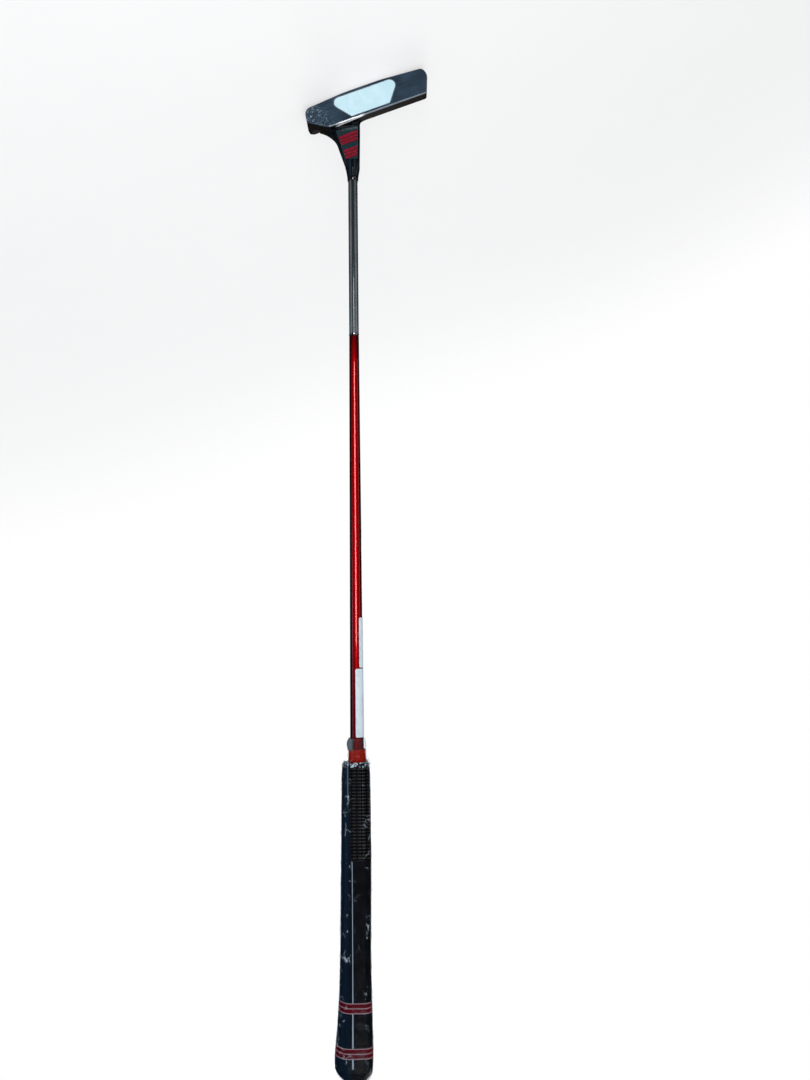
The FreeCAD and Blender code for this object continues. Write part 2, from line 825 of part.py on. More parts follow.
def add_grip_section(sketch, station, out, drawn_in="0"):
    """The grip's outline at a station, moved out by a distance: flat towards the toe, round at the back.

    drawn_in rounds the butt: it pulls the outline in, a little more at the back than at the flat.
    """
    flat = f"{station}_flat + {out} - 0.85 * {drawn_in}"
    back = f"{station}_back + {out} - 1.1 * {drawn_in}"
    half = f"{station}_half + {out} - {drawn_in}"
    front_r = f"grip_front_r * (1 - {drawn_in} / 14)"
    back_r = f"0.92 * ({half})"
    add_outline(
        sketch,
        [
            (f"-({flat})", f"-({half})", front_r),
            (back, f"-({half})", back_r),
            (back, half, back_r),
            (f"-({flat})", half, front_r),
        ],
    )


def grip_solid(label, out):
    """The grip without its end cap as a solid, its surface moved out by a distance."""
    body = new_body(label)
    sketches = []
    for station in GRIP_STATIONS:
        sketch = new_sketch(body, "XY_Plane", f"{station}_z")
        add_grip_section(sketch, station, out)
        sketches.append(sketch)
    loft(body, sketches, ruled=True)
    return lean(body)


# Rounding of the butt: height above the start of the end cap, and how far the outline has drawn in.
CAP_SECTIONS = [("0", "0"), ("4.6", "1.8"), ("8.4", "4.7"), ("11", "7.2"), ("13", "9.4")]


def cap_dome(label, out, sections):
    body = new_body(label)
    sketches = []
    for height, drawn_in in sections:
        sketch = new_sketch(body, "XY_Plane", f"cap_z + {height}")
        add_grip_section(sketch, "cap", out, drawn_in)
        sketches.append(sketch)
    loft(body, sketches)
    return lean(body)


def slab(label, low, height):
    high = f"{low} + {height}"
    return lean(turned(label, [("0", low), ("60", low), ("60", high), ("0", high)]))


def side_line_block(label, side):
    """A long block that cuts one side line out of the grip's skin."""
    body = new_body(label)
    sketch = new_sketch(body, "XY_Plane", "side_line_foot")
    near, far = f"{side} * 6", f"{side} * 40"
    left, right = "side_line_x - side_line_wide / 2", "side_line_x + side_line_wide / 2"
    add_outline(sketch, [(left, near), (right, near), (right, far), (left, far)])
    pad(body, sketch, "side_line_top - side_line_foot")
    return lean(body)


def grip_parts():
    """Grip body with its inlaid trim: white side lines, and two sets of red hoops between white ones."""
    skin = combine("Cut", "grip_skin", grip_solid("grip_outer", "0"), grip_solid("grip_inner", "-skin"))
    reds, whites = [], []
    for number in range(2):
        foot = f"hoop_foot + {number} * hoop_step"
        for row in range(3):
            low = f"{foot} + {row} * (hoop_white + hoop_red)"
            whites.append(slab(f"white_slab_{number}_{row}", low, "hoop_white"))
            if row < 2:
                reds.append(slab(f"red_slab_{number}_{row}", f"{low} + hoop_white", "hoop_red"))
    red_slabs = group("red_slabs", reds)
    red = combine("Common", "grip_red_hoops", skin, red_slabs)
    lines = group("line_blocks", [side_line_block("front_line", -1), side_line_block("back_line", 1)])
    broken_lines = combine("Cut", "broken_lines", lines, group("all_slabs", reds + whites))
    white = combine("Common", "grip_white_trim", skin, group("white_blocks", [broken_lines] + whites))

    core = combine("Cut", "grip_bored", grip_solid("grip_solid", "0"), grip_bore())
    body = combine("Cut", "grip_body", core, group("grip_trim", [red, white]))
    return body, white, red


def cuff():
    """Flared red cuff that closes the mouth of the grip."""
    high = "mouth_z - seat"
    corners = [
        (f"{tube_r('cuff_foot')} + seat", "cuff_foot"),
        ("cuff_low_r", "cuff_foot"),
        ("cuff_high_r", high),
        (f"{tube_r('(' + high + ')')} + seat", high),
    ]
    return lean(turned("grip_cuff", corners))


def grip_bore():
    """Cutter for the bore of the grip, which follows the taped shaft."""
    low, high = "mouth_z - 5", "cap_z + 5"
    corners = [
        ("0", low),
        (f"{tube_r('(' + low + ')')} + wrap_thick + seat", low),
        (f"{tube_r('(' + high + ')')} + wrap_thick + seat", high),
        ("0", high),
    ]
    return lean(turned("grip_bore_cutter", corners))


def end_cap():
    dome = cap_dome("cap_solid", "0", CAP_SECTIONS)
    pocket_r = "tube_high_r + wrap_thick + 0.1"
    corners = [
        ("0", "cap_z - 1"),
        (pocket_r, "cap_z - 1"),
        (pocket_r, "tube_top + 0.1"),
        ("vent_r", "tube_top + 0.1"),
        ("vent_r", "club_length + 5"),
        ("0", "club_length + 5"),
    ]
    hollow = lean(turned("cap_hollow", corners))
    return combine("Cut", "grip_end_cap", dome, hollow)


# Neck of the wrap film: height, and radius before the film's own gap.
FILM_NECK = [
    ("film_foot", "6.2"),
    ("cuff_foot", "cuff_low_r + 0.05"),
    ("mouth_z - 2.5", "cuff_high_r + 0.05"),
]


def film():
    """Clear wrap: a thin shell over the grip and cap, gathered onto the shaft below the mouth."""
    shells = []
    for label, out in (("film_outside", "film_gap + film_thick"), ("film_inside", "film_gap")):
        body = new_body(label)
        sketches = []
        for height, radius in FILM_NECK:
            reach = f"{radius} + {out}"
            sketch = new_sketch(body, "XY_Plane", height)
            add_ring_section(sketch, f"-({reach})", reach, reach, f"0.99 * ({reach})")
            sketches.append(sketch)
        for station in GRIP_STATIONS:
            lift = "- 1" if station == "mouth" else "+ 0"
            sketch = new_sketch(body, "XY_Plane", f"{station}_z {lift}")
            add_grip_section(sketch, station, out)
            sketches.append(sketch)
        for height, drawn_in in CAP_SECTIONS[1:4]:
            sketch = new_sketch(body, "XY_Plane", f"cap_z + {height}")
            add_grip_section(sketch, "cap", out, drawn_in)
            sketches.append(sketch)
        loft(body, sketches, ruled=True)
        shells.append(lean(body))
    return combine("Cut", "grip_film_sleeve", *shells)


# --- the parts ------------------------------------------------------------------------------------------


def build():
    grip, white, red = grip_parts()
    return [
        head_body(),
        insert_piece("face_insert", "0", "insert_thick"),
        insert_piece("insert_tape", "insert_thick + seat", "tape_thick"),
        badge_solid("hosel_badge", "badge_gap", "-badge_deep + seat", "badge_thick - seat"),
        badge_bars(),
        sight_line(),
        sole_weight("heel_weight", 1),
        sole_weight("toe_weight", -1),
        weight_washer("heel_weight_washer", 1),
        weight_washer("toe_weight_washer", -1),
        ferrule(),
        epoxy(),
        steel_tip(),
        joint_ring(),
        graphite_tube(),
        butt_plug(),
        shaft_sleeve("grip_tape", "(mouth_z + 2)", "(cap_z - 1)", "seat", "wrap_thick - seat"),
        grip,
        white,
        red,
        end_cap(),
        cuff(),
        film(),
        shaft_sleeve("shaft_label_low", "label_low", "label_low_end", "seat", "label_thick", 122, -240),
        shaft_sleeve("shaft_label_high", "label_high", "label_high_end", "seat", "label_thick", 177, -260),
    ]


def check_all():
    """Stops the script if any object is in error or any shape is missing or broken."""
    for thing in doc.Objects:
        if {"Invalid", "Error"} & set(thing.State):
            raise RuntimeError(f"{thing.Label} is in error: {thing.State}")
        if hasattr(thing, "Shape") and not thing.isDerivedFrom("App::DatumElement"):
            if thing.Shape.isNull() or not thing.Shape.isValid():
                raise RuntimeError(f"{thing.Label} has a broken shape")


parts = build()
doc.recompute()
check_all()
os.makedirs("parts", exist_ok=True)
for part in parts:
    part.Shape.exportStep(f"parts/{part.Label}.step")
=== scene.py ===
import json
import math

import bpy
import numpy as np
from mathutils import Matrix, Vector
from mathutils.bvhtree import BVHTree

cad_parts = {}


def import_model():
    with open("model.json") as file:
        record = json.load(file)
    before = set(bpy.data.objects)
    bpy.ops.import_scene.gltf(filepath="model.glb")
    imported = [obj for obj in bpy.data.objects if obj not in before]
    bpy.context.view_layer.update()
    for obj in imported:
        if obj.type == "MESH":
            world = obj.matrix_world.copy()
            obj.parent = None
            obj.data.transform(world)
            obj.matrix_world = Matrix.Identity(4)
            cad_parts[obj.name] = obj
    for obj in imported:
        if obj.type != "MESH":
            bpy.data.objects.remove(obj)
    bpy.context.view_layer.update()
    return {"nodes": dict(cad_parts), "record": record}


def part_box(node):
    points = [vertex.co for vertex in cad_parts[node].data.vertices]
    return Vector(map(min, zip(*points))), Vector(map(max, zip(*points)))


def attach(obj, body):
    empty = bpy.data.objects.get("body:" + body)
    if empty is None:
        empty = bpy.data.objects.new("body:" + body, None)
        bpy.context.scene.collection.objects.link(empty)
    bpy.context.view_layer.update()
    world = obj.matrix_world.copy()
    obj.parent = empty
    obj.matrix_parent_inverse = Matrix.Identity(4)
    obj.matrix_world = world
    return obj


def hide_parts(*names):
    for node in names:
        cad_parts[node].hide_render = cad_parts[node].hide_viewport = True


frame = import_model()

NODES = frame["nodes"]
MM = 0.001
BODY = "putter"

# --- the shaft frame: X towards the heel side, Y as in the row frame, Z up the shaft from the ground ---

MOUNTS = {m["name"]: m for m in frame["record"]["mounts"]}
AXIS = Vector(MOUNTS["hand_grip"]["axis"]).normalized()
SIDE = Vector((AXIS.z, 0, -AXIS.x))
DEPTH = Vector((0, 1, 0))
ON_AXIS = Vector(MOUNTS["hand_grip"]["pos_m"])
GROUND = ON_AXIS - AXIS * (ON_AXIS.z / AXIS.z)
SHAFT = Matrix((SIDE, DEPTH, AXIS)).transposed().to_4x4()
SHAFT.translation = GROUND
TO_SHAFT = SHAFT.inverted()


def heights(node):
    """Heights up the shaft, in mm, of a CAD node's vertices, sorted."""
    return sorted((TO_SHAFT @ v.co).z / MM for v in NODES[node].data.vertices)


def ends(node):
    found = heights(node)
    return found[0], found[-1]


def bands(node):
    """Lower and upper heights, in mm, of a node's rings, which have vertices at both edges and midway."""
    levels = []
    for z in heights(node):
        if not levels or z - levels[-1] > 0.2:
            levels.append(z)
    return list(zip(levels[0::3], levels[2::3]))


# --- the grip's surface, read off the CAD solids --------------------------------------------------------


class Surface:
    """Radius of the grip over angle and height, sampled from the CAD solids and lightly smoothed."""

    ANGLES = 240
    STEP = 1.5
    FAR_OUT = 0.05  # m, where the rays towards the axis start

    def __init__(self, nodes, low, high, smooth):
        verts, faces = [], []
        for name in nodes:
            mesh = NODES[name].data
            first = len(verts)
            verts += [TO_SHAFT @ v.co for v in mesh.vertices]
            faces += [[first + i for i in p.vertices] for p in mesh.polygons]
        tree = BVHTree.FromPolygons(verts, faces)
        self.low, self.high = low, high
        self.rows = int((high - low) / self.STEP) + 1
        self.z = np.linspace(low, high, self.rows)
        self.r = np.zeros((self.rows, self.ANGLES))
        for i, z in enumerate(self.z):
            for k in range(self.ANGLES):
                a = 2 * math.pi * k / self.ANGLES
                out = Vector((math.cos(a), math.sin(a), 0))
                start = out * self.FAR_OUT + Vector((0, 0, z * MM))
                hit = tree.ray_cast(start, -out)[0]
                self.r[i, k] = math.hypot(hit.x, hit.y) / MM if hit else self.r[i - 1, k]
        for _ in range(smooth):
            self.r[1:-1] = (self.r[:-2] + 2 * self.r[1:-1] + self.r[2:]) / 4
        around = [np.roll(self.r, k, axis=1) for k in (-1, 1)]
        self.r = (around[0] + 2 * self.r + around[1]) / 4

    def radius(self, angle, z):
        """Radius in mm at an angle and a height. Both can be arrays."""
        share = (np.asarray(z, float) - self.low) / (self.high - self.low)
        row = np.clip(share * (self.rows - 1), 0, self.rows - 1)
        col = (np.asarray(angle, float) / (2 * math.pi) * self.ANGLES) % self.ANGLES
        i, k = np.floor(row).astype(int), np.floor(col).astype(int)
        i = np.minimum(i, self.rows - 2)
        s, t = row - i, col - k
        k2 = (k + 1) % self.ANGLES
        k = k % self.ANGLES
        below = self.r[i, k] * (1 - t) + self.r[i, k2] * t
        above = self.r[i + 1, k] * (1 - t) + self.r[i + 1, k2] * t
        return below * (1 - s) + above * s


FILM_LOW, FILM_HIGH = ends("grip_film_sleeve")
GRIP_LOW, GRIP_HIGH = ends("grip_body")
CAP_LOW, CAP_HIGH = ends("grip_end_cap")
GRIP = Surface(["grip_body", "grip_white_trim", "grip_red_hoops"], GRIP_LOW + 0.2, GRIP_HIGH - 0.2, 6)


# --- building meshes ------------------------------------------------------------------------------------


def new_piece(name, verts, faces, material, slot, replaced=()):
    """A smooth piece from shaft-frame vertices in mm. It rides on the putter and stands for CAD nodes."""
    mesh = bpy.data.meshes.new(name)
    mesh.from_pydata([tuple(SHAFT @ (Vector(v) * MM)) for v in verts], [], faces)
    mesh.validate()
    mesh.update()
    obj = bpy.data.objects.new(name, mesh)
    bpy.context.scene.collection.objects.link(obj)
    mesh.materials.append(material)
    mesh.polygons.foreach_set("use_smooth", [True] * len(mesh.polygons))
    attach(obj, BODY)
    if replaced:
        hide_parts(*replaced)
    return obj


def even_angles(count):
    return np.arange(count) * 2 * math.pi / count


def ring(radius, angles, z):
    """Points at a height, one for each angle. The radius is one value, or one for each angle."""
    radii = np.broadcast_to(radius, len(angles))
    return [(r * math.cos(a), r * math.sin(a), z) for r, a in zip(radii, angles)]


def ring_faces(rings, around, closed=True, flip=False):
    """Quads between successive rings of vertices; closed joins each ring's ends."""
    faces = []
    last = around if closed else around - 1
    for i in range(rings - 1):
        for k in range(last):
            a, b = i * around + k, i * around + (k + 1) % around
            quad = (a, b, b + around, a + around)
            faces.append(quad[::-1] if flip else quad)
    return faces


def tube_faces(rings, around):
    """Quads between successive rings, and between the last ring and the first."""
    last = (rings - 1) * around
    return ring_faces(rings, around) + [
        (last + k, last + (k + 1) % around, (k + 1) % around, k) for k in range(around)
    ]


def lathe(name, profile, material, **extra):
    """Closed turned piece from (radius, height) points; the outline runs up the outside and down the bore."""
    angles = even_angles(96)
    verts = [point for r, z in profile for point in ring(r, angles, z)]
    new_piece(name, verts, tube_faces(len(profile), len(angles)), material, **extra)


def sheet(name, grid, thickness, material, closed=False, **extra):
    """Thin closed shell from rows of outer points, each with an inner twin nearer the axis."""
    rows, cols = len(grid), len(grid[0])
    outer = [point for row in grid for point in row]
    inner = []
    for x, y, z in outer:
        r = math.hypot(x, y)
        scale = (r - thickness) / r
        inner.append((x * scale, y * scale, z))
    count = len(outer)
    faces = ring_faces(rows, cols, closed=closed)
    faces += [tuple(count + v for v in f[::-1]) for f in faces]
    last = cols if closed else cols - 1
    for k in range(last):
        k2 = (k + 1) % cols
        faces.append((k2, k, count + k, count + k2))
        a, b = (rows - 1) * cols + k, (rows - 1) * cols + k2
        faces.append((a, b, count + b, count + a))
    if not closed:
        for i in range(rows - 1):
            a, b = i * cols, (i + 1) * cols
            faces.append((a, b, count + b, count + a))
            a, b = i * cols + cols - 1, (i + 1) * cols + cols - 1
            faces.append((b, a, count + a, count + b))
    new_piece(name, outer + inner, faces, material, **extra)


# --- materials ------------------------------------------------------------------------------------------

# All in mm. X is along the head in the row frame, or towards the heel side in the shaft frame.
ORIGIN = GROUND / MM  # foot of the shaft axis
INSERT_TO_TOPLINE = 2.6  # upper edge of the insert to the topline
STRIP_TOE, STRIP_HEEL = 5, 37  # X of the ends of the painted reflection strip on the topline
SPECKS_START, SPECKS_FULL = 32, 50  # X where the specks begin, and where they are all there
NECK_START = 66  # height up the shaft where the painted highlight streaks on the hosel's neck begin
STREAK_PITCH = 4.3  # painted highlight line to painted highlight line across the shaft
GROOVE_X = 7.4  # X of the moulded groove on the grip
GROOVE_LONG = 36  # its length from the grip's mouth
RIB_GLINT_X = (-5.6, -2.6)  # X of the bright column of ribs
GATHER_LONG = 8.5  # length of the gathered end of the film


class Look:
    """A node material in short form. Positions are object coordinates in mm, in the row frame."""

    def __init__(self, name):
        self.material = bpy.data.materials.new(name)
        self.material.use_nodes = True
        self.tree = self.material.node_tree
        self.bsdf = self.tree.nodes["Principled BSDF"]
        where = self.tree.nodes.new("ShaderNodeTexCoord")
        self.mm = self.scale(where.outputs["Object"], (1000, 1000, 1000))

    def add(self, kind, inputs=None, **props):
        node = self.tree.nodes.new("ShaderNode" + kind)
        for key, value in props.items():
            setattr(node, key, value)
        for key, value in (inputs or {}).items():
            self.feed(node, key, value)
        return node

    def feed(self, node, key, value):
        if isinstance(value, bpy.types.NodeSocket):
            self.tree.links.new(value, node.inputs[key])
        else:
            node.inputs[key].default_value = value

    def scale(self, vector, factors):
        return self.add("VectorMath", {0: vector, 1: factors}, operation="MULTIPLY").outputs[0]

    def math(self, operation, a, b=0.0):
        return self.add("Math", {0: a, 1: b}, operation=operation).outputs[0]

    def dot(self, a, b):
        return self.add("VectorMath", {0: a, 1: b}, operation="DOT_PRODUCT").outputs["Value"]

    def along(self, direction, origin=(0, 0, 0)):
        """Distance in mm along a row-frame direction."""
        moved = self.add("VectorMath", {0: self.mm, 1: tuple(origin)}, operation="SUBTRACT").outputs[0]
        return self.dot(moved, tuple(direction))

    def noise(self, scale, detail=3.0, stretch=(1, 1, 1), vector=None, rough=0.55):
        vector = self.scale(vector or self.mm, stretch)
        made = self.add("TexNoise", {"Vector": vector, "Scale": scale, "Detail": detail, "Roughness": rough})
        return made.outputs["Fac"]

    def step(self, value, low, high, out_low=0.0, out_high=1.0):
        """Smooth map of value from low..high to out_low..out_high."""
        limits = {"From Min": low, "From Max": high, "To Min": out_low, "To Max": out_high}
        made = self.add("MapRange", {"Value": value, **limits}, interpolation_type="SMOOTHSTEP")
        return made.outputs["Result"]

    def product(self, *factors):
        made = factors[0]
        for factor in factors[1:]:
            made = self.math("MULTIPLY", made, factor)
        return made

    def mix(self, factor, a, b):
        made = self.add("Mix", {}, data_type="RGBA")
        for socket, value in (("Factor_Float", factor), ("A_Color", a), ("B_Color", b)):
            target = next(s for s in made.inputs if s.identifier == socket)
            if isinstance(value, bpy.types.NodeSocket):
                self.tree.links.new(value, target)
            else:
                target.default_value = value if isinstance(value, float) else (*value, 1.0)
        return next(s for s in made.outputs if s.identifier == "Result_Color")

    def bump(self, height, strength, distance):
        made = self.add("Bump", {"Height": height, "Strength": strength, "Distance": distance})
        return made.outputs["Normal"]

    def shader(self, kind, color, **inputs):
        return self.add(kind, {"Color": (*color, 1), **inputs}).outputs[0]

    def blend(self, factor, a, b):
        """Shader a where the factor is zero, and b where it is one."""
        return self.add("MixShader", {0: factor, 1: a, 2: b}).outputs[0]

    def finish(self, shader):
        self.tree.links.new(shader, self.tree.nodes["Material Output"].inputs["Surface"])
        return self.material

    def around_shaft(self):
        """Position with no part along the shaft, so that a pattern on it runs along the shaft."""
        return self.add("VectorMath", {0: self.mm, 1: tuple(AXIS)}, operation="CROSS_PRODUCT").outputs[0]

    def streaks(self):
        """Two painted highlight lines along the shaft, each side of its middle: from -1 between them to 1 on
        them.
        """
        turns = self.math("MULTIPLY", self.along(SIDE, ORIGIN), 2 * math.pi / STREAK_PITCH)
        return self.math("MULTIPLY", self.math("COSINE", turns), -1.0)

    def edge_highlight_mask(self, radius):
        """One along sharp edges and zero on flats, over about radius mm; the mask for painted edge
        highlights.
        """
        rounded = self.add("Bevel", {"Radius": radius * MM}, samples=6).outputs["Normal"]
        plain = self.add("NewGeometry").outputs["Normal"]
        return self.step(self.dot(rounded, plain), 0.99, 0.88)

    def set(self, **inputs):
        """Fills the main shader's inputs and returns the material."""
        names = {"color": "Base Color", "metal": "Metallic", "rough": "Roughness", "normal": "Normal",
                 "coat": "Coat Weight", "coat_rough": "Coat Roughness", "specular": "Specular IOR Level"}
        for key, value in inputs.items():
            self.feed(self.bsdf, names[key], value)
        return self.material


def head_look():
    """Dark brushed blade with painted highlights on its edges, brown-black topline, a painted reflection
    strip on the topline at the gloss black hosel, and painted sheen and highlight streaks on the hosel.
    """
    look = Look("head_steel")
    insert_low, insert_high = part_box("face_insert")
    top = insert_high.z / MM + INSERT_TO_TOPLINE
    front = insert_low.y / MM
    x, y, z = (look.along(axis) for axis in ((1, 0, 0), (0, 1, 0), (0, 0, 1)))
    on_face = look.step(y, front + 1.3, front + 0.6)
    above = look.step(z, top + 0.1, top + 0.6)
    brushed = look.noise(1.0, 5, (0.05, 2.2, 5.0))
    fine = look.noise(1.0, 3, (0.25, 6.0, 14.0))
    cloud = look.noise(0.05, 2)
    tone = look.math("ADD", look.math("MULTIPLY", brushed, 0.6), look.math("MULTIPLY", cloud, 0.4))
    blade = look.mix(look.step(tone, 0.38, 0.62), (0.017, 0.034, 0.056), (0.054, 0.092, 0.138))
    rear = look.mix(look.step(tone, 0.35, 0.68), (0.0060, 0.0044, 0.0038), (0.0125, 0.0092, 0.0078))
    blade = look.mix(on_face, rear, blade)
    # Painted highlight along the face's sharp edges, weaker towards the heel, and along the top rim of the
    # face.
    edge = look.product(
        look.edge_highlight_mask(1.6), look.step(y, front + 1.6, front + 1.0), look.step(x, 40, 32, 0.15, 0.8)
    )
    rim = look.product(look.step(z, top - 0.9, top - 0.4), on_face, 0.5)
    blade = look.mix(look.math("MAXIMUM", edge, rim), blade, (0.36, 0.41, 0.46))
    # Painted reflection: a near-white strip on the topline in front of the hosel.
    leaning = look.math("SUBTRACT", y, look.math("MULTIPLY", x, 0.10))
    reflection_strip = look.product(
        look.step(x, STRIP_TOE, STRIP_TOE + 6),
        look.step(x, STRIP_HEEL, STRIP_HEEL - 6),
        look.step(leaning, front + 1.0, front + 0.4),
        look.step(z, top - 1.0, top - 0.4),
        look.step(look.noise(0.5, 3, (0.4, 1, 1)), 0.36, 0.46, 0.45, 1.0),
    )
    blade = look.mix(reflection_strip, blade, (0.92, 0.95, 0.97))
    specks = look.add("TexVoronoi", {"Vector": look.mm, "Scale": 0.9}, feature="F1").outputs["Distance"]
    patch = look.product(look.step(x, SPECKS_START, SPECKS_FULL), look.step(look.noise(0.30, 3), 0.38, 0.60))
    sparkle = look.product(look.step(specks, 0.44, 0.22), patch, look.math("LESS_THAN", y, front + 0.25))
    blade = look.mix(sparkle, blade, (0.50, 0.66, 0.78))
    # Painted sheen and painted highlight streaks in a blue tint on the hosel's gloss black.
    sheen = look.step(look.noise(0.20, 2, vector=look.around_shaft()), 0.50, 0.66, 0.0, 0.7)
    neck = look.step(look.along(AXIS, ORIGIN), NECK_START, NECK_START + 8)
    streak = look.product(look.step(look.streaks(), 0.2, 1.0), neck)
    gloss = look.mix(look.math("MAXIMUM", sheen, streak), (0.0022, 0.003, 0.0045), (0.010, 0.021, 0.032))
    color = look.mix(above, blade, gloss)
    rough = look.mix(above, look.mix(brushed, (0.30,) * 3, (0.46,) * 3), (0.20,) * 3)
    satin = look.math("SUBTRACT", 1.0, above)
    metal = look.product(satin, on_face, 0.45)
    lines = look.math("ADD", look.math("MULTIPLY", brushed, 0.6), look.math("MULTIPLY", fine, 0.4))
    peel = look.product(look.noise(0.9, 2), above, 0.15)
    normal = look.bump(look.math("ADD", look.math("MULTIPLY", lines, satin), peel), 0.25, 0.00004)
    return look.set(color=color, rough=rough, metal=metal, normal=normal, coat_rough=0.12,
                    coat=look.math("MULTIPLY", above, 0.5),
                    specular=look.math("ADD", look.math("MULTIPLY", on_face, 0.3), 0.04))


def insert_look():
    """Pale cool insert with faint milled lines."""
    look = Look("face_insert")
    waves = {"Vector": look.scale(look.mm, (0.03, 1, 1)), "Scale": 0.55, "Distortion": 1.2, "Detail": 2.0}
    milled = look.add("TexWave", waves, wave_type="BANDS", bands_direction="Z").outputs["Fac"]
    cloud = look.noise(0.12, 3)
    color = look.mix(look.math("MULTIPLY", milled, 0.5), (0.50, 0.72, 0.80), (0.46, 0.68, 0.76))
    color = look.mix(look.step(cloud, 0.4, 0.7), color, (0.56, 0.76, 0.83))
    normal = look.bump(milled, 0.2, 0.00004)
    return look.set(color=color, rough=0.34, normal=normal, coat=0.25, coat_rough=0.15)


def gloss_look(name, color, second, rough):
    """Painted or moulded gloss with slight mottling and orange peel."""
    look = Look(name)
    tone = look.mix(look.step(look.noise(0.6, 4), 0.35, 0.65), color, second)
    peel = look.bump(look.noise(1.6, 2), 0.12, 0.00003)
    marks = look.step(look.noise(0.5, 5, (1, 1, 0.2)), 0.5, 0.75, rough, rough + 0.14)
    return look.set(color=tone, rough=marks, normal=peel, coat=0.6, coat_rough=0.05)


def badge_look():
    """Dark teal plate with a fine woven fleck under gloss and a painted highlight along its edges."""
    look = Look("hosel_badge")
    fleck = look.noise(2.6, 3, (1, 1, 2.2))
    color = look.mix(look.step(fleck, 0.42, 0.62), (0.006, 0.014, 0.018), (0.018, 0.045, 0.054))
    # Painted highlight along the badge's edges.
    color = look.mix(look.math("MULTIPLY", look.edge_highlight_mask(0.7), 0.6), color, (0.16, 0.22, 0.26))
    return look.set(color=color, rough=0.22, normal=look.bump(fleck, 0.2, 0.00004), coat=0.9, coat_rough=0.05)


def steel_look():
    """Smoked shaft steel with drawing lines along the shaft and two painted highlight streaks."""
    look = Look("smoked_steel")
    drawn = look.noise(0.9, 3, vector=look.around_shaft(), rough=0.6)
    # Painted highlights: two light streaks along the shaft.
    streak = look.math("MULTIPLY", look.streaks(), 0.22)
    cloud = look.math("MULTIPLY", look.noise(0.03, 3), 0.5)
    tone = look.math("ADD", look.math("ADD", look.math("MULTIPLY", drawn, 0.5), cloud), streak)
    color = look.mix(look.step(tone, 0.38, 0.72), (0.030, 0.042, 0.048), (0.20, 0.23, 0.245))
    marks = look.step(look.noise(0.2, 5), 0.45, 0.75, 0.24, 0.36)
    normal = look.bump(drawn, 0.2, 0.00006)
    return look.set(color=color, rough=marks, metal=0.5, normal=normal, coat=0.3, coat_rough=0.08)


def candy_look():
    """Candy red lacquer over carbon with painted shading: bright where it faces the viewer, nearly black at
    the edges, and darker up the shaft towards the grip.
    """
    look = Look("candy_red")
    facing = look.add("LayerWeight", {"Blend": 0.5}).outputs["Facing"]
    flake = look.noise(3.2, 2, (1, 1, 0.35))
    # Painted shading: bright centre where the tube faces the viewer, nearly black at its edges.
    red = look.mix(look.step(facing, 0.0, 0.42), (0.42, 0.0002, 0.0016), (0.026, 0.0001, 0.0004))
    # Painted shade: the red darkens up the shaft towards the grip.
    shade_up_shaft = look.step(look.along(AXIS, ORIGIN), FILM_LOW - 95, FILM_LOW - 20, 0.0, 0.6)
    red = look.mix(shade_up_shaft, red, (0.030, 0.0006, 0.0012))
    red = look.mix(look.step(flake, 0.5, 0.75, 0.0, 0.12), red, (0.45, 0.004, 0.008))
    weave = look.noise(1.2, 2, (1, 1, 0.15))
    return look.set(color=red, rough=0.30, metal=0.55, specular=0.08, normal=look.bump(weave, 0.08, 0.00002),
                    coat=0.8, coat_rough=0.06)


def rubber_look(name, dark, light, relief=False):
    """Black rubber with a blue cast, pores and slight bloom, and painted blue light on the heel side; moulded
    tops catch more light as painted highlights, with painted shade between them and a painted highlight along
    the groove.
    """
    look = Look(name)
    pores = look.noise(4.0, 3)
    bloom = look.noise(0.07, 4)
    shaft_x = look.along(SIDE, ORIGIN)
    # Painted blue light: the heel side of the rubber is tinted navy.
    heel_side = look.step(shaft_x, 4.0, 9.0)
    color = look.mix(look.step(bloom, 0.35, 0.7), dark, light)
    color = look.mix(heel_side, color, (0.0035, 0.010, 0.021))
    if relief:
        tops = look.add("Attribute", attribute_name="relief").outputs["Fac"]
        # Painted shade between the ribs, where the relief is low.
        color = look.mix(look.step(tops, 0.0, 0.5), (0.0006, 0.0006, 0.0007), color)
        # Painted highlight on the rib tops, brightest in one column.
        left, right = RIB_GLINT_X
        column = look.product(look.step(shaft_x, left, left + 1), look.step(shaft_x, right, right - 1))
        ribs = look.mix(column, (0.022, 0.022, 0.023), (0.090, 0.094, 0.090))
        color = look.mix(look.step(tops, 0.6, 1.0), color, ribs)
        # Painted highlight: a pale line along the moulded groove.
        near = look.math("ABSOLUTE", look.math("SUBTRACT", shaft_x, GROOVE_X))
        line = look.product(
            look.step(near, 0.55, 0.25),
            look.step(look.along(DEPTH), -15, -17),
            look.step(look.along(AXIS, ORIGIN), GRIP_LOW + GROOVE_LONG + 2, GRIP_LOW + GROOVE_LONG - 8),
        )
        color = look.mix(line, color, (0.085, 0.11, 0.13))
    grain = look.bump(pores, 0.35, 0.00006)
    rough = look.step(look.noise(0.25, 4), 0.35, 0.7, 0.30, 0.48)
    return look.set(color=color, rough=rough, normal=grain, specular=0.07)


def printed_look(name, color, worn):
    """Paint on rubber, a little uneven."""
    look = Look(name)
    wear = look.step(look.noise(1.4, 4), 0.52, 0.75, 0.0, 0.6)
    return look.set(color=look.mix(wear, color, worn), rough=0.36, specular=0.08,
                    normal=look.bump(look.noise(3.5, 2), 0.2, 0.00004))


def paper_look():
    """Blank white label stock with faint creases, painted darker in them as shade."""
    look = Look("label_paper")
    crease = look.noise(0.35, 4, (1, 1, 0.4))
    fibre = look.noise(5.0, 3)
    # Painted shade: darker in the creases.
    color = look.mix(look.step(crease, 0.45, 0.7), (0.60, 0.70, 0.76), (0.50, 0.60, 0.67))
    height = look.math("ADD", look.math("MULTIPLY", crease, 0.8), look.math("MULTIPLY", fibre, 0.2))
    return look.set(color=color, rough=0.5, normal=look.bump(height, 0.3, 0.0001), coat=0.2, coat_rough=0.3)


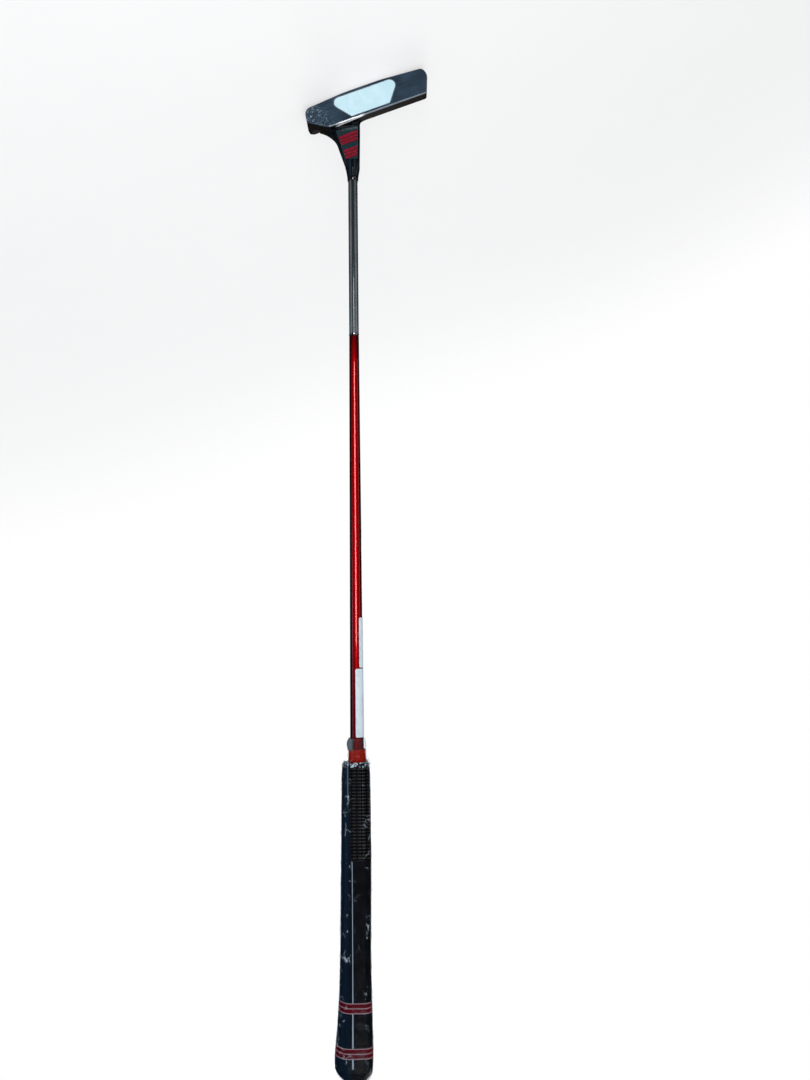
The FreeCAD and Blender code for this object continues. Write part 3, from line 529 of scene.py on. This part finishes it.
def film_look():
    """Clear wrap with thin creases that catch the light, milky where it gathers on the heel side."""
    look = Look("wrap_film")
    shaft_z = look.along(AXIS, ORIGIN)
    shaft_x = look.along(SIDE, ORIGIN)
    normal = look.bump(look.noise(0.12, 2, (1, 1, 0.5)), 0.6, 0.002)
    clear = look.shader("BsdfTransparent", (0.985, 0.99, 1.0))
    shine = look.shader("BsdfGlossy", (0.95, 0.97, 1.0), Roughness=0.04, Normal=normal)
    fresnel = look.add("LayerWeight", {"Blend": 0.06, "Normal": normal}).outputs["Fresnel"]
    shiny = look.math("ADD", look.math("MULTIPLY", fresnel, 0.25), 0.0012)
    body = look.blend(shiny, clear, shine)

    bend = look.add("TexNoise", {"Vector": look.mm, "Scale": 0.11, "Detail": 2.0}).outputs["Color"]
    bend = look.scale(bend, (26, 26, 26))
    bent = look.add("VectorMath", {0: look.mm, 1: bend}, operation="ADD").outputs[0]
    cells = look.add("TexVoronoi", {"Vector": bent, "Scale": 0.055}, feature="DISTANCE_TO_EDGE")
    crease = look.step(cells.outputs["Distance"], 0.016, 0.006)
    sparse = look.step(look.noise(0.10, 2), 0.52, 0.60)
    flank = look.math("MAXIMUM", look.step(shaft_x, 3, 8), look.step(shaft_x, -5, -8))
    sparse = look.product(sparse, look.math("ADD", look.math("MULTIPLY", flank, 0.6), 0.12))
    glints = look.product(
        look.step(look.noise(0.55, 2), 0.56, 0.62),
        look.step(shaft_z, GRIP_LOW - 1.5, GRIP_LOW),
        look.step(shaft_z, GRIP_LOW + 4, GRIP_LOW + 2),
    )
    crease = look.math("MAXIMUM", look.product(crease, sparse), glints)
    body = look.blend(crease, body, look.shader("BsdfDiffuse", (0.42, 0.50, 0.58)))

    gathered = look.step(shaft_z, FILM_LOW + GATHER_LONG + 2, FILM_LOW + GATHER_LONG)
    side = look.step(shaft_x, 2.5, 5.0, 0.04, 0.80)
    milk = look.shader("BsdfDiffuse", (0.12, 0.14, 0.155), Normal=normal)
    return look.finish(look.blend(look.product(gathered, side), body, milk))


def plain_look(name, color, second, rough, metal=0.0):
    """Two close tones in soft patches, with faint turning marks."""
    look = Look(name)
    tone = look.mix(look.step(look.noise(0.8, 4), 0.35, 0.7), color, second)
    turned = look.noise(2.0, 3, (1, 1, 4))
    return look.set(color=tone, rough=rough, metal=metal, normal=look.bump(turned, 0.2, 0.00004))


LOOKS = {
    "head_body": head_look(),
    "face_insert": insert_look(),
    "hosel_badge": badge_look(),
    "badge_bars": gloss_look("badge_red", (0.15, 0.003, 0.012), (0.25, 0.006, 0.022), 0.2),
    "ferrule": gloss_look("ferrule_black", (0.005, 0.005, 0.006), (0.010, 0.010, 0.012), 0.12),
    "sight_line_infill": printed_look("sight_line", (0.8, 0.82, 0.84), (0.6, 0.62, 0.64)),
    "insert_tape": plain_look("bond_tape", (0.60, 0.56, 0.45), (0.7, 0.67, 0.55), 0.8),
    "hosel_epoxy": plain_look("epoxy", (0.25, 0.20, 0.10), (0.30, 0.25, 0.14), 0.3),
    "grip_tape": plain_look("grip_tape", (0.55, 0.50, 0.40), (0.62, 0.58, 0.48), 0.7),
    "butt_counterweight": plain_look("counterweight", (0.55, 0.42, 0.18), (0.66, 0.52, 0.25), 0.3, 1.0),
    "heel_weight": plain_look("weight_steel", (0.32, 0.33, 0.35), (0.46, 0.47, 0.49), 0.26, 1.0),
    "heel_weight_washer": plain_look("washer_rubber", (0.01, 0.01, 0.01), (0.02, 0.02, 0.02), 0.6),
}
LOOKS["toe_weight"] = LOOKS["heel_weight"]
LOOKS["toe_weight_washer"] = LOOKS["heel_weight_washer"]
for name, material in LOOKS.items():
    mesh = NODES[name].data
    mesh.materials.clear()
    mesh.materials.append(material)

CANDY = candy_look()
SMOKED = steel_look()
RUBBER = rubber_look("grip_rubber", (0.0018, 0.0022, 0.0032), (0.0040, 0.0050, 0.0075), relief=True)
CAP_RUBBER = rubber_look("cap_rubber", (0.002, 0.003, 0.0045), (0.005, 0.0065, 0.010))
WHITE_PRINT = printed_look("white_print", (0.33, 0.40, 0.47), (0.22, 0.27, 0.33))
HOOP_PRINT = printed_look("hoop_print", (0.28, 0.19, 0.21), (0.16, 0.09, 0.11))
RED_PRINT = printed_look("red_print", (0.085, 0.001, 0.006), (0.05, 0.0008, 0.004))
PAPER = paper_look()
RING_SILVER = plain_look("ring_silver", (0.75, 0.76, 0.78), (0.85, 0.86, 0.88), 0.12, 1.0)
RING_BLACK = gloss_look("ring_black", (0.006, 0.006, 0.007), (0.01, 0.01, 0.012), 0.15)


# --- shaft ----------------------------------------------------------------------------------------------

WALL = 1.0
SPIGOT_ROOM = 28  # wider part of the tube's bore, above the joint
SILVER_LONG = 1.15  # silver half of the joint ring
LABEL_CORNER = 1.2
LABEL_LIFT = 0.1  # how far the free end of a label stands off
FILM_THICK, LABEL_THICK, TRIM_THICK = 0.06, 0.1, 0.25


def cad_points(node):
    return [TO_SHAFT @ v.co / MM for v in NODES[node].data.vertices]


def cad_radius(node, z, window=6.0):
    """Largest distance from the shaft axis of a node's vertices near a height, in mm."""
    return max(math.hypot(p.x, p.y) for p in cad_points(node) if abs(p.z - z) < window)


def taper(low_r, high_r, low, high, steps):
    """Profile points up a straight taper, after its first one."""
    shares = [i / steps for i in range(1, steps + 1)]
    return [(low_r + (high_r - low_r) * t, low + (high - low) * t) for t in shares]


def shaft_pieces():
    """Steel tip, red graphite tube, and the joint ring as a silver half and a black half."""
    low, high = ends("shaft_steel_tip")
    joint_low, joint_high = ends("shaft_joint_ring")
    tip_r = cad_radius("shaft_steel_tip", low)
    tip = [
        (tip_r - 0.4, low),
        (tip_r, low + 0.1),
        (tip_r, (low + high) / 2),
        (tip_r, joint_low - 0.2),
        (tip_r - 0.15, joint_low),
        (tip_r - WALL, joint_low),
        (tip_r - WALL, low),
    ]
    lathe("shaft_steel_tip_skin", tip, SMOKED, slot="shaft_steel", replaced=["shaft_steel_tip"])

    low, high = ends("shaft_graphite_tube")
    low_r, high_r = cad_radius("shaft_graphite_tube", low), cad_radius("shaft_graphite_tube", high)
    tube = [(low_r - 0.25, low), (low_r, low + 0.3)] + taper(low_r, high_r, low, high, 24)
    tube += [(high_r - 1.2, high), (low_r - WALL, low + SPIGOT_ROOM), (low_r - WALL, low)]
    lathe("shaft_graphite_skin", tube, CANDY, slot="shaft_red", replaced=["shaft_graphite_tube"])

    ring_r = cad_radius("shaft_joint_ring", joint_low)
    bore = ring_r - 1.2
    middle = joint_low + SILVER_LONG
    silver = [
        (ring_r - 0.3, joint_low),
        (ring_r, joint_low + 0.25),
        (ring_r, middle),
        (ring_r - 0.3, middle),
        (bore, middle),
        (bore, joint_low),
    ]
    black = [
        (ring_r - 0.25, middle),
        (ring_r - 0.2, middle + 0.1),
        (ring_r - 0.2, joint_high),
        (bore, joint_high),
        (bore, middle),
    ]
    lathe("joint_ring_silver", silver, RING_SILVER, slot="ring", replaced=["shaft_joint_ring"])
    lathe("joint_ring_black", black, RING_BLACK, slot="ring")


def label(name, node):
    """Blank paper label wrapped part of the way round the shaft, its free end lifting slightly."""
    low, high = ends(node)
    angles = [math.atan2(p.y, p.x) % (2 * math.pi) for p in cad_points(node)]
    first, last = min(angles), max(angles)
    rows, cols = 60, 48
    low_r, high_r = cad_radius(node, low), cad_radius(node, high)
    grid = []
    for i in range(rows):
        s = i / (rows - 1)
        line = []
        for k in range(cols):
            t = k / (cols - 1)
            beside_corner = max(0.0, 1 - min(t, 1 - t) * 14)
            inset = LABEL_CORNER * (1 - math.sqrt(1 - beside_corner ** 2))
            z = low + inset + (high - low - 2 * inset) * s
            a = first + (last - first) * t
            lift = LABEL_LIFT * max(0.0, t - 0.9) * 10 * (0.6 + 0.4 * math.sin(9 * s))
            ripple = 0.05 * math.sin(23 * s + 5 * t) * math.sin(math.pi * t)
            r = low_r + (high_r - low_r) * s + 0.05 + lift + max(0.0, ripple)
            line.append((r * math.cos(a), r * math.sin(a), z))
        grid.append(line)
    sheet(name, grid, LABEL_THICK, PAPER, slot="label", replaced=[node])


# --- grip -----------------------------------------------------------------------------------------------

LIP = 2.8  # rounding of the grip's mouth
SEAM = CAP_LOW - 0.3  # top of the rubber, below the cap
RIB_EDGE_X = 5.8  # the ribs are on the toe side of this
RIB_PITCH_Z = 2.65
RIB_PITCH_AROUND = 4.1
RIB_HEIGHT = 0.4
GROOVE_DEEP = 0.2
TRIM_LOW, TRIM_HIGH = ends("grip_white_trim")
TEXTURE_END = TRIM_LOW - 1.0
VENT_R = 1.25
POCKET_R = 6.0  # hollow under the cap


def lip_drop(z):
    """How far the mouth's rounding draws the surface in at a height."""
    t = np.clip((GRIP_LOW + LIP - z) / LIP, 0, 1)
    return LIP * (1 - np.sqrt(1 - t * t * 0.999))


def arc_lengths(z):
    """Distance round the grip, in mm, from the toe side, for evenly spaced angles at a height."""
    count = 720
    a = np.linspace(-math.pi, math.pi, count + 1) + math.pi
    r = GRIP.radius(a, np.full(count + 1, z))
    x, y = r * np.cos(a), r * np.sin(a)
    steps = np.hypot(np.diff(x), np.diff(y))
    travelled = np.concatenate(([0], np.cumsum(steps)))
    return a, travelled


def grip_body():
    """Rubber grip with rows of moulded ribs on the toe side of its lower part."""
    angles = even_angles(300)
    fine = np.arange(GRIP_LOW, TEXTURE_END + 3, 0.33)
    coarse = np.arange(TEXTURE_END + 4, SEAM, 2.0)
    rows = np.concatenate((fine, coarse, [SEAM]))
    base_angles, travelled = arc_lengths((GRIP_LOW + TEXTURE_END) / 2)
    toe_at = np.interp(math.pi, base_angles, travelled)
    arc = np.interp(angles, base_angles, travelled) - toe_at
    columns = np.abs((arc / RIB_PITCH_AROUND) % 1.0 - 0.5) * 2
    column_shape = np.clip((0.84 - columns) / 0.16, 0, 1)
    verts, tops = [], []
    for z in rows:
        r = GRIP.radius(angles, np.full(len(angles), z)) - lip_drop(z) - 0.02
        x = r * np.cos(angles)
        row_shape = np.clip((0.56 - abs((z / RIB_PITCH_Z) % 1.0 - 0.5) * 2) / 0.28, 0, 1)
        zone = np.clip((RIB_EDGE_X - x) / 0.5, 0, 1)
        zone = zone * np.clip((TEXTURE_END - z) / 0.8, 0, 1) * np.clip((z - GRIP_LOW - 3.2) / 0.8, 0, 1)
        rib = column_shape * row_shape * zone
        r = r + RIB_HEIGHT * (rib - 0.75 * zone)
        groove = np.exp(-(((x - GROOVE_X) / 0.45) ** 2)) * np.clip((z - GRIP_LOW - 3) / 2, 0, 1)
        groove = groove * np.clip((GRIP_LOW + GROOVE_LONG - z) / 4, 0, 1)
        verts += ring(r - GROOVE_DEEP * groove, angles, z)
        # Relief values for the material: painted shade between the ribs, painted highlight on rib tops and
        # along the groove.
        tops += list(0.5 + 0.5 * rib - 0.5 * (zone * (1 - rib)) + 0.3 * groove)
    bore = cad_radius("grip_cuff", GRIP_LOW, window=2.0) - 0.6
    for z in (SEAM, GRIP_LOW):
        verts += ring(bore, angles, z)
        tops += [0.5] * len(angles)
    faces = tube_faces(len(rows) + 2, len(angles))
    made = new_piece("grip_rubber", verts, faces, RUBBER, slot="grip", replaced=["grip_body"])
    relief = made.data.attributes.new("relief", "FLOAT", "POINT")
    relief.data.foreach_set("value", tops)


def hoop(name, low, high, material, proud, **extra):
    """Band round the grip that stands proud of it by a little, with both edges brought down to it."""
    angles = even_angles(200)
    edge = 0.12
    grid = []
    for z, up in ((low, 0), (low + edge, proud), ((low + high) / 2, proud), (high - edge, proud), (high, 0)):
        grid.append(ring(GRIP.radius(angles, np.full(len(angles), z)) + up, angles, z))
    sheet(name, grid, TRIM_THICK, material, closed=True, **extra)


def side_line(name, low, high, sign, middle, wide, **extra):
    """Narrow stripe along the grip at a set distance from the middle, on the face side or the far side."""
    fan = np.linspace(-0.35, 0.35, 141) + sign * math.pi / 2
    rows = max(3, int((high - low) / 3))
    grid = []
    for i in range(rows + 1):
        z = low + (high - low) * i / rows
        r = GRIP.radius(fan % (2 * math.pi), np.full(len(fan), z))
        x = r * np.cos(fan)
        order = np.argsort(x)
        spots = np.interp(middle + np.linspace(-wide / 2, wide / 2, 7), x[order], fan[order])
        line = ring(GRIP.radius(spots % (2 * math.pi), np.full(len(spots), z)) + 0.03, spots, z)
        grid.append(line if sign < 0 else line[::-1])
    sheet(name, grid, TRIM_THICK, WHITE_PRINT, **extra)


def line_place():
    """Middle and width of the side line, from the lowest CAD points of the trim."""
    across = [p.x for p in cad_points("grip_white_trim") if p.z < TRIM_LOW + 1]
    return (min(across) + max(across)) / 2, max(across) - min(across)


def grip_trim():
    """Red hoops between white ones, and a side line front and back, broken where hoops cross it."""
    reds = bands("grip_red_hoops")
    edge = reds[1][0] - reds[0][1]
    whites = []
    for number, (low, high) in enumerate(reds):
        replaced = [] if number else ["grip_red_hoops"]
        hoop(f"red_hoop_{number + 1}", low, high, RED_PRINT, 0.05, slot="grip_red", replaced=replaced)
        whites += [(low - edge, low), (high, high + edge)]
    whites = sorted({(round(low, 2), round(high, 2)) for low, high in whites})
    for number, (low, high) in enumerate(whites):
        hoop(f"white_hoop_{number + 1}", low, high, HOOP_PRINT, 0.06, slot="grip_white")
    half = len(whites) // 2
    starts = [TRIM_LOW, whites[half - 1][1], whites[-1][1]]
    stops = [whites[0][0], whites[half][0], TRIM_HIGH]
    middle, wide = line_place()
    replaced = ["grip_white_trim"]
    for side, sign in (("front", -1), ("back", 1)):
        for number, (low, high) in enumerate(zip(starts, stops)):
            name = f"{side}_line_{number + 1}"
            side_line(name, low, high, sign, middle, wide, slot="grip_white", replaced=replaced)
            replaced = []


def end_cap():
    """Domed butt cap with a parting line where it meets the grip and a vent hole on the shaft axis."""
    angles, steps = even_angles(200), 34
    edge = GRIP.radius(angles, np.full(len(angles), SEAM)) - 0.12
    crown = [p.x for p in cad_points("grip_end_cap") if p.z > CAP_HIGH - 0.3]
    middle = (min(crown) + max(crown)) / 2
    out_x, out_y = edge * np.cos(angles) - middle, edge * np.sin(angles)
    bearing, reach = np.arctan2(out_y, out_x), np.hypot(out_x, out_y)
    order = np.argsort(bearing)

    def height(x, y):
        outline = np.interp(np.arctan2(y, x - middle), bearing[order], reach[order], period=2 * math.pi)
        share = np.clip(np.hypot(x - middle, y) / outline, 0, 1)
        return CAP_LOW - 0.2 + (CAP_HIGH - CAP_LOW) * (1 - share ** 2) ** 0.8

    foot = CAP_LOW - 0.25
    verts = ring(edge - 0.4, angles, foot)
    for i in range(steps + 1):
        inwards = math.cos(i / steps * math.pi / 2)
        r = VENT_R + 0.3 + (edge - VENT_R - 0.3) * inwards
        x, y = r * np.cos(angles), r * np.sin(angles)
        verts += list(zip(x, y, height(x, y)))
    hole = [(VENT_R, CAP_HIGH - 1.2), (VENT_R, CAP_LOW + 7.5), (POCKET_R, CAP_LOW + 7.4), (POCKET_R, foot)]
    for r, z in hole:
        verts += ring(r, angles, z)
    faces = tube_faces(steps + 2 + len(hole), len(angles))
    new_piece("end_cap", verts, faces, CAP_RUBBER, slot="grip", replaced=["grip_end_cap"])


def cuff():
    """Orange-red sleeve that flares from the shaft to the grip's mouth."""
    low, high = ends("grip_cuff")
    low_r, high_r = cad_radius("grip_cuff", low, window=2), cad_radius("grip_cuff", high, window=2)
    look = Look("cuff_red")
    tone = look.mix(look.step(look.noise(0.5, 3), 0.35, 0.7), (0.27, 0.0080, 0.0006), (0.18, 0.004, 0.0006))
    normal = look.bump(look.noise(1.5, 3), 0.2, 0.00005)
    material = look.set(color=tone, rough=0.42, normal=normal, specular=0.08)
    outline = [(low_r - 0.6, low), (low_r - 0.1, low + 0.15), (low_r + 0.1, low + 0.7)]
    outline += taper(low_r, high_r, low + 1, high, 8) + [(high_r - 1.4, high), (low_r - WALL, low)]
    lathe("grip_cuff_skin", outline, material, slot="cuff", replaced=["grip_cuff"])


def film():
    """Wrinkled clear wrap over the grip, pleated where it gathers on the shaft."""
    shell = Surface(["grip_film_sleeve"], FILM_LOW + 0.1, FILM_HIGH - 0.1, 3)
    angles = even_angles(220)
    gather = np.linspace(FILM_LOW, GRIP_LOW + 3, 34)
    rows = np.concatenate((gather, np.arange(GRIP_LOW + 5, FILM_HIGH - 3, 2.0), [FILM_HIGH - 0.2]))
    rng = np.random.default_rng(7)
    waves = []
    for _ in range(14):
        lobes, pace = rng.integers(2, 9), rng.uniform(0.02, 0.12)
        waves.append((lobes, pace, rng.uniform(0, 6.28), rng.uniform(0, 6.28)))
    off_heel = (angles + math.pi) % (2 * math.pi) - math.pi
    heel_side = np.exp(-((off_heel / 0.5) ** 2))
    grid = []
    for z in rows:
        ripple = np.zeros(len(angles))
        for lobes, pace, shift_a, shift_z in waves:
            ripple += np.sin(lobes * angles + shift_a) * math.sin(pace * z + shift_z)
        neck = float(np.clip((GRIP_LOW - z) / 8, 0, 1))
        pleats = 0.22 * neck * np.sin(17 * angles + 2 * math.sin(z)) + 0.12 * neck * np.sin(31 * angles + z)
        bulge = 1.5 * heel_side * math.exp(-(((z - FILM_LOW - 4.5) / 3.4) ** 2))
        r = shell.radius(angles, np.full(len(angles), z)) + 0.035 * ripple * (1 - neck) + pleats + bulge
        grid.append(ring(r, angles, z))
    sheet("wrap_film", grid, FILM_THICK, film_look(), closed=True, slot="film", replaced=["grip_film_sleeve"])


shaft_pieces()
label("label_low", "shaft_label_low")
label("label_high", "shaft_label_high")
grip_body()
grip_trim()
end_cap()
cuff()
film()


# --- floor, light and camera ----------------------------------------------------------------------------

FLOOR_Z = -0.0003
FLOOR_REACH = 1.6
FLOOR_CLEAR, FLOOR_FULL = 1500, 350  # distance in mm where the floor has faded out, and where fading starts
DIFFUSE_ROOM = 0.35  # strength of the room for matt surfaces
GLOSSY_ROOM = 0.02  # and for shiny ones
CAMERA_PLACE = Vector((0.1409, -0.7177, 0.4795))
CAMERA_LOOK = Vector((-0.0398, 0.9945, -0.0973))
CAMERA_UP = Vector((-0.3528, -0.1051, -0.9298))
FIELD_LONG = 67.2
SENSOR = 36
MIDDLE = GROUND + AXIS * 0.43
LOW_SHAFT = GROUND + AXIS * 0.25


def floor():
    """Pale round floor that fades out at its edge and is clear from below, so it never hides the object."""
    rings, angles = 24, even_angles(96)
    around = len(angles)
    verts = [(0.0, 0.0, FLOOR_Z)]
    for i in range(1, rings + 1):
        verts += ring(FLOOR_REACH * i / rings, angles, FLOOR_Z)
    faces = [(0, 1 + k, 1 + (k + 1) % around) for k in range(around)]
    faces += [tuple(v + 1 for v in f) for f in ring_faces(rings, around, flip=True)]
    mesh = bpy.data.meshes.new("floor")
    mesh.from_pydata(verts, [], faces)
    obj = bpy.data.objects.new("floor", mesh)
    bpy.context.scene.collection.objects.link(obj)
    look = Look("pale_floor")
    distance = look.add("VectorMath", {0: look.mm}, operation="LENGTH").outputs["Value"]
    seen = look.step(distance, FLOOR_CLEAR, FLOOR_FULL)
    grain = look.noise(0.02, 3)
    look.set(color=look.mix(grain, (0.90, 0.90, 0.90), (0.94, 0.94, 0.935)), rough=0.8, specular=0.1)
    pale = look.blend(0.6, look.bsdf.outputs[0], look.shader("Emission", (1, 1, 1), Strength=1.0))
    mirrored = look.add("LightPath").outputs["Is Glossy Ray"]
    surface = look.blend(mirrored, pale, look.shader("Emission", (0.8, 0.9, 1), Strength=GLOSSY_ROOM))
    from_above = look.math("SUBTRACT", 1.0, look.add("NewGeometry").outputs["Backfacing"])
    clear = look.shader("BsdfTransparent", (1, 1, 1))
    mesh.materials.append(look.finish(look.blend(look.product(seen, from_above), clear, surface)))


def world():
    """White behind the object for the camera, even light for matt surfaces, a darker room for shiny ones."""
    made = bpy.data.worlds.new("studio")
    made.use_nodes = True
    tree = made.node_tree
    tree.nodes.clear()
    out = tree.nodes.new("ShaderNodeOutputWorld")
    path = tree.nodes.new("ShaderNodeLightPath")
    shades = []
    rooms = [((0.90, 0.95, 1, 1), DIFFUSE_ROOM), ((0.80, 0.90, 1, 1), GLOSSY_ROOM), ((1, 1, 1, 1), 1.0)]
    for color, strength in rooms:
        shade = tree.nodes.new("ShaderNodeBackground")
        shade.inputs["Color"].default_value = color
        shade.inputs["Strength"].default_value = strength
        shades.append(shade.outputs[0])
    shown = shades[0]
    for ray, shade in (("Is Glossy Ray", shades[1]), ("Is Camera Ray", shades[2])):
        mix = tree.nodes.new("ShaderNodeMixShader")
        tree.links.new(path.outputs[ray], mix.inputs[0])
        tree.links.new(shown, mix.inputs[1])
        tree.links.new(shade, mix.inputs[2])
        shown = mix.outputs[0]
    tree.links.new(shown, out.inputs[0])
    bpy.context.scene.world = made


def aimed(place, x, y, z):
    """Placement of a lamp or camera from its own axes."""
    return Matrix.LocRotScale(place, Matrix((x, y, z)).transposed().to_quaternion(), None)


def softbox(name, place, aim, wide, tall, power, color=(1, 1, 1)):
    """Rectangular lamp that the camera doesn't see. Its tall side runs along the shaft."""
    data = bpy.data.lights.new(name, "AREA")
    data.shape = "RECTANGLE"
    data.size, data.size_y = wide, tall
    data.energy = power
    data.color = color
    lamp = bpy.data.objects.new(name, data)
    bpy.context.scene.collection.objects.link(lamp)
    z = (place - aim).normalized()
    y = (AXIS - z * AXIS.dot(z)).normalized()
    lamp.matrix_world = aimed(place, y.cross(z), y, z)
    lamp.visible_camera = False


def camera():
    """The scene's camera."""
    data = bpy.data.cameras.new("camera")
    data.sensor_width = SENSOR
    data.lens = SENSOR / 2 / math.tan(math.radians(FIELD_LONG / 2))
    data.clip_start, data.clip_end = 0.02, 50
    obj = bpy.data.objects.new("camera", data)
    bpy.context.scene.collection.objects.link(obj)
    z = -CAMERA_LOOK.normalized()
    x = CAMERA_UP.cross(z).normalized()
    obj.matrix_world = aimed(CAMERA_PLACE, x, z.cross(x), z)
    bpy.context.scene.camera = obj


floor()
world()
softbox("front", LOW_SHAFT + SIDE * -0.043 + DEPTH * -0.75, LOW_SHAFT, 0.20, 0.54, 3.6)
softbox("high", MIDDLE + Vector((0.3, -1.6, 1.5)), MIDDLE, 1.0, 1.0, 9)
softbox("heel_side", MIDDLE + SIDE * 1.3 + DEPTH * -0.5, MIDDLE, 0.2, 1.6, 2.4, (0.45, 0.68, 1.0))
softbox("toe_side", MIDDLE - SIDE * 1.3 + DEPTH * -0.3, MIDDLE, 0.2, 1.6, 1.2, (1.0, 0.9, 0.8))
softbox("back", MIDDLE + Vector((0, 1.5, 0.5)), MIDDLE, 0.9, 1.4, 9)
softbox("top", Vector((0.15, 0.1, 2.2)), Vector((0.15, 0, 0.4)), 1.0, 1.0, 9)
camera()
bpy.context.scene.view_settings.view_transform = "Standard"
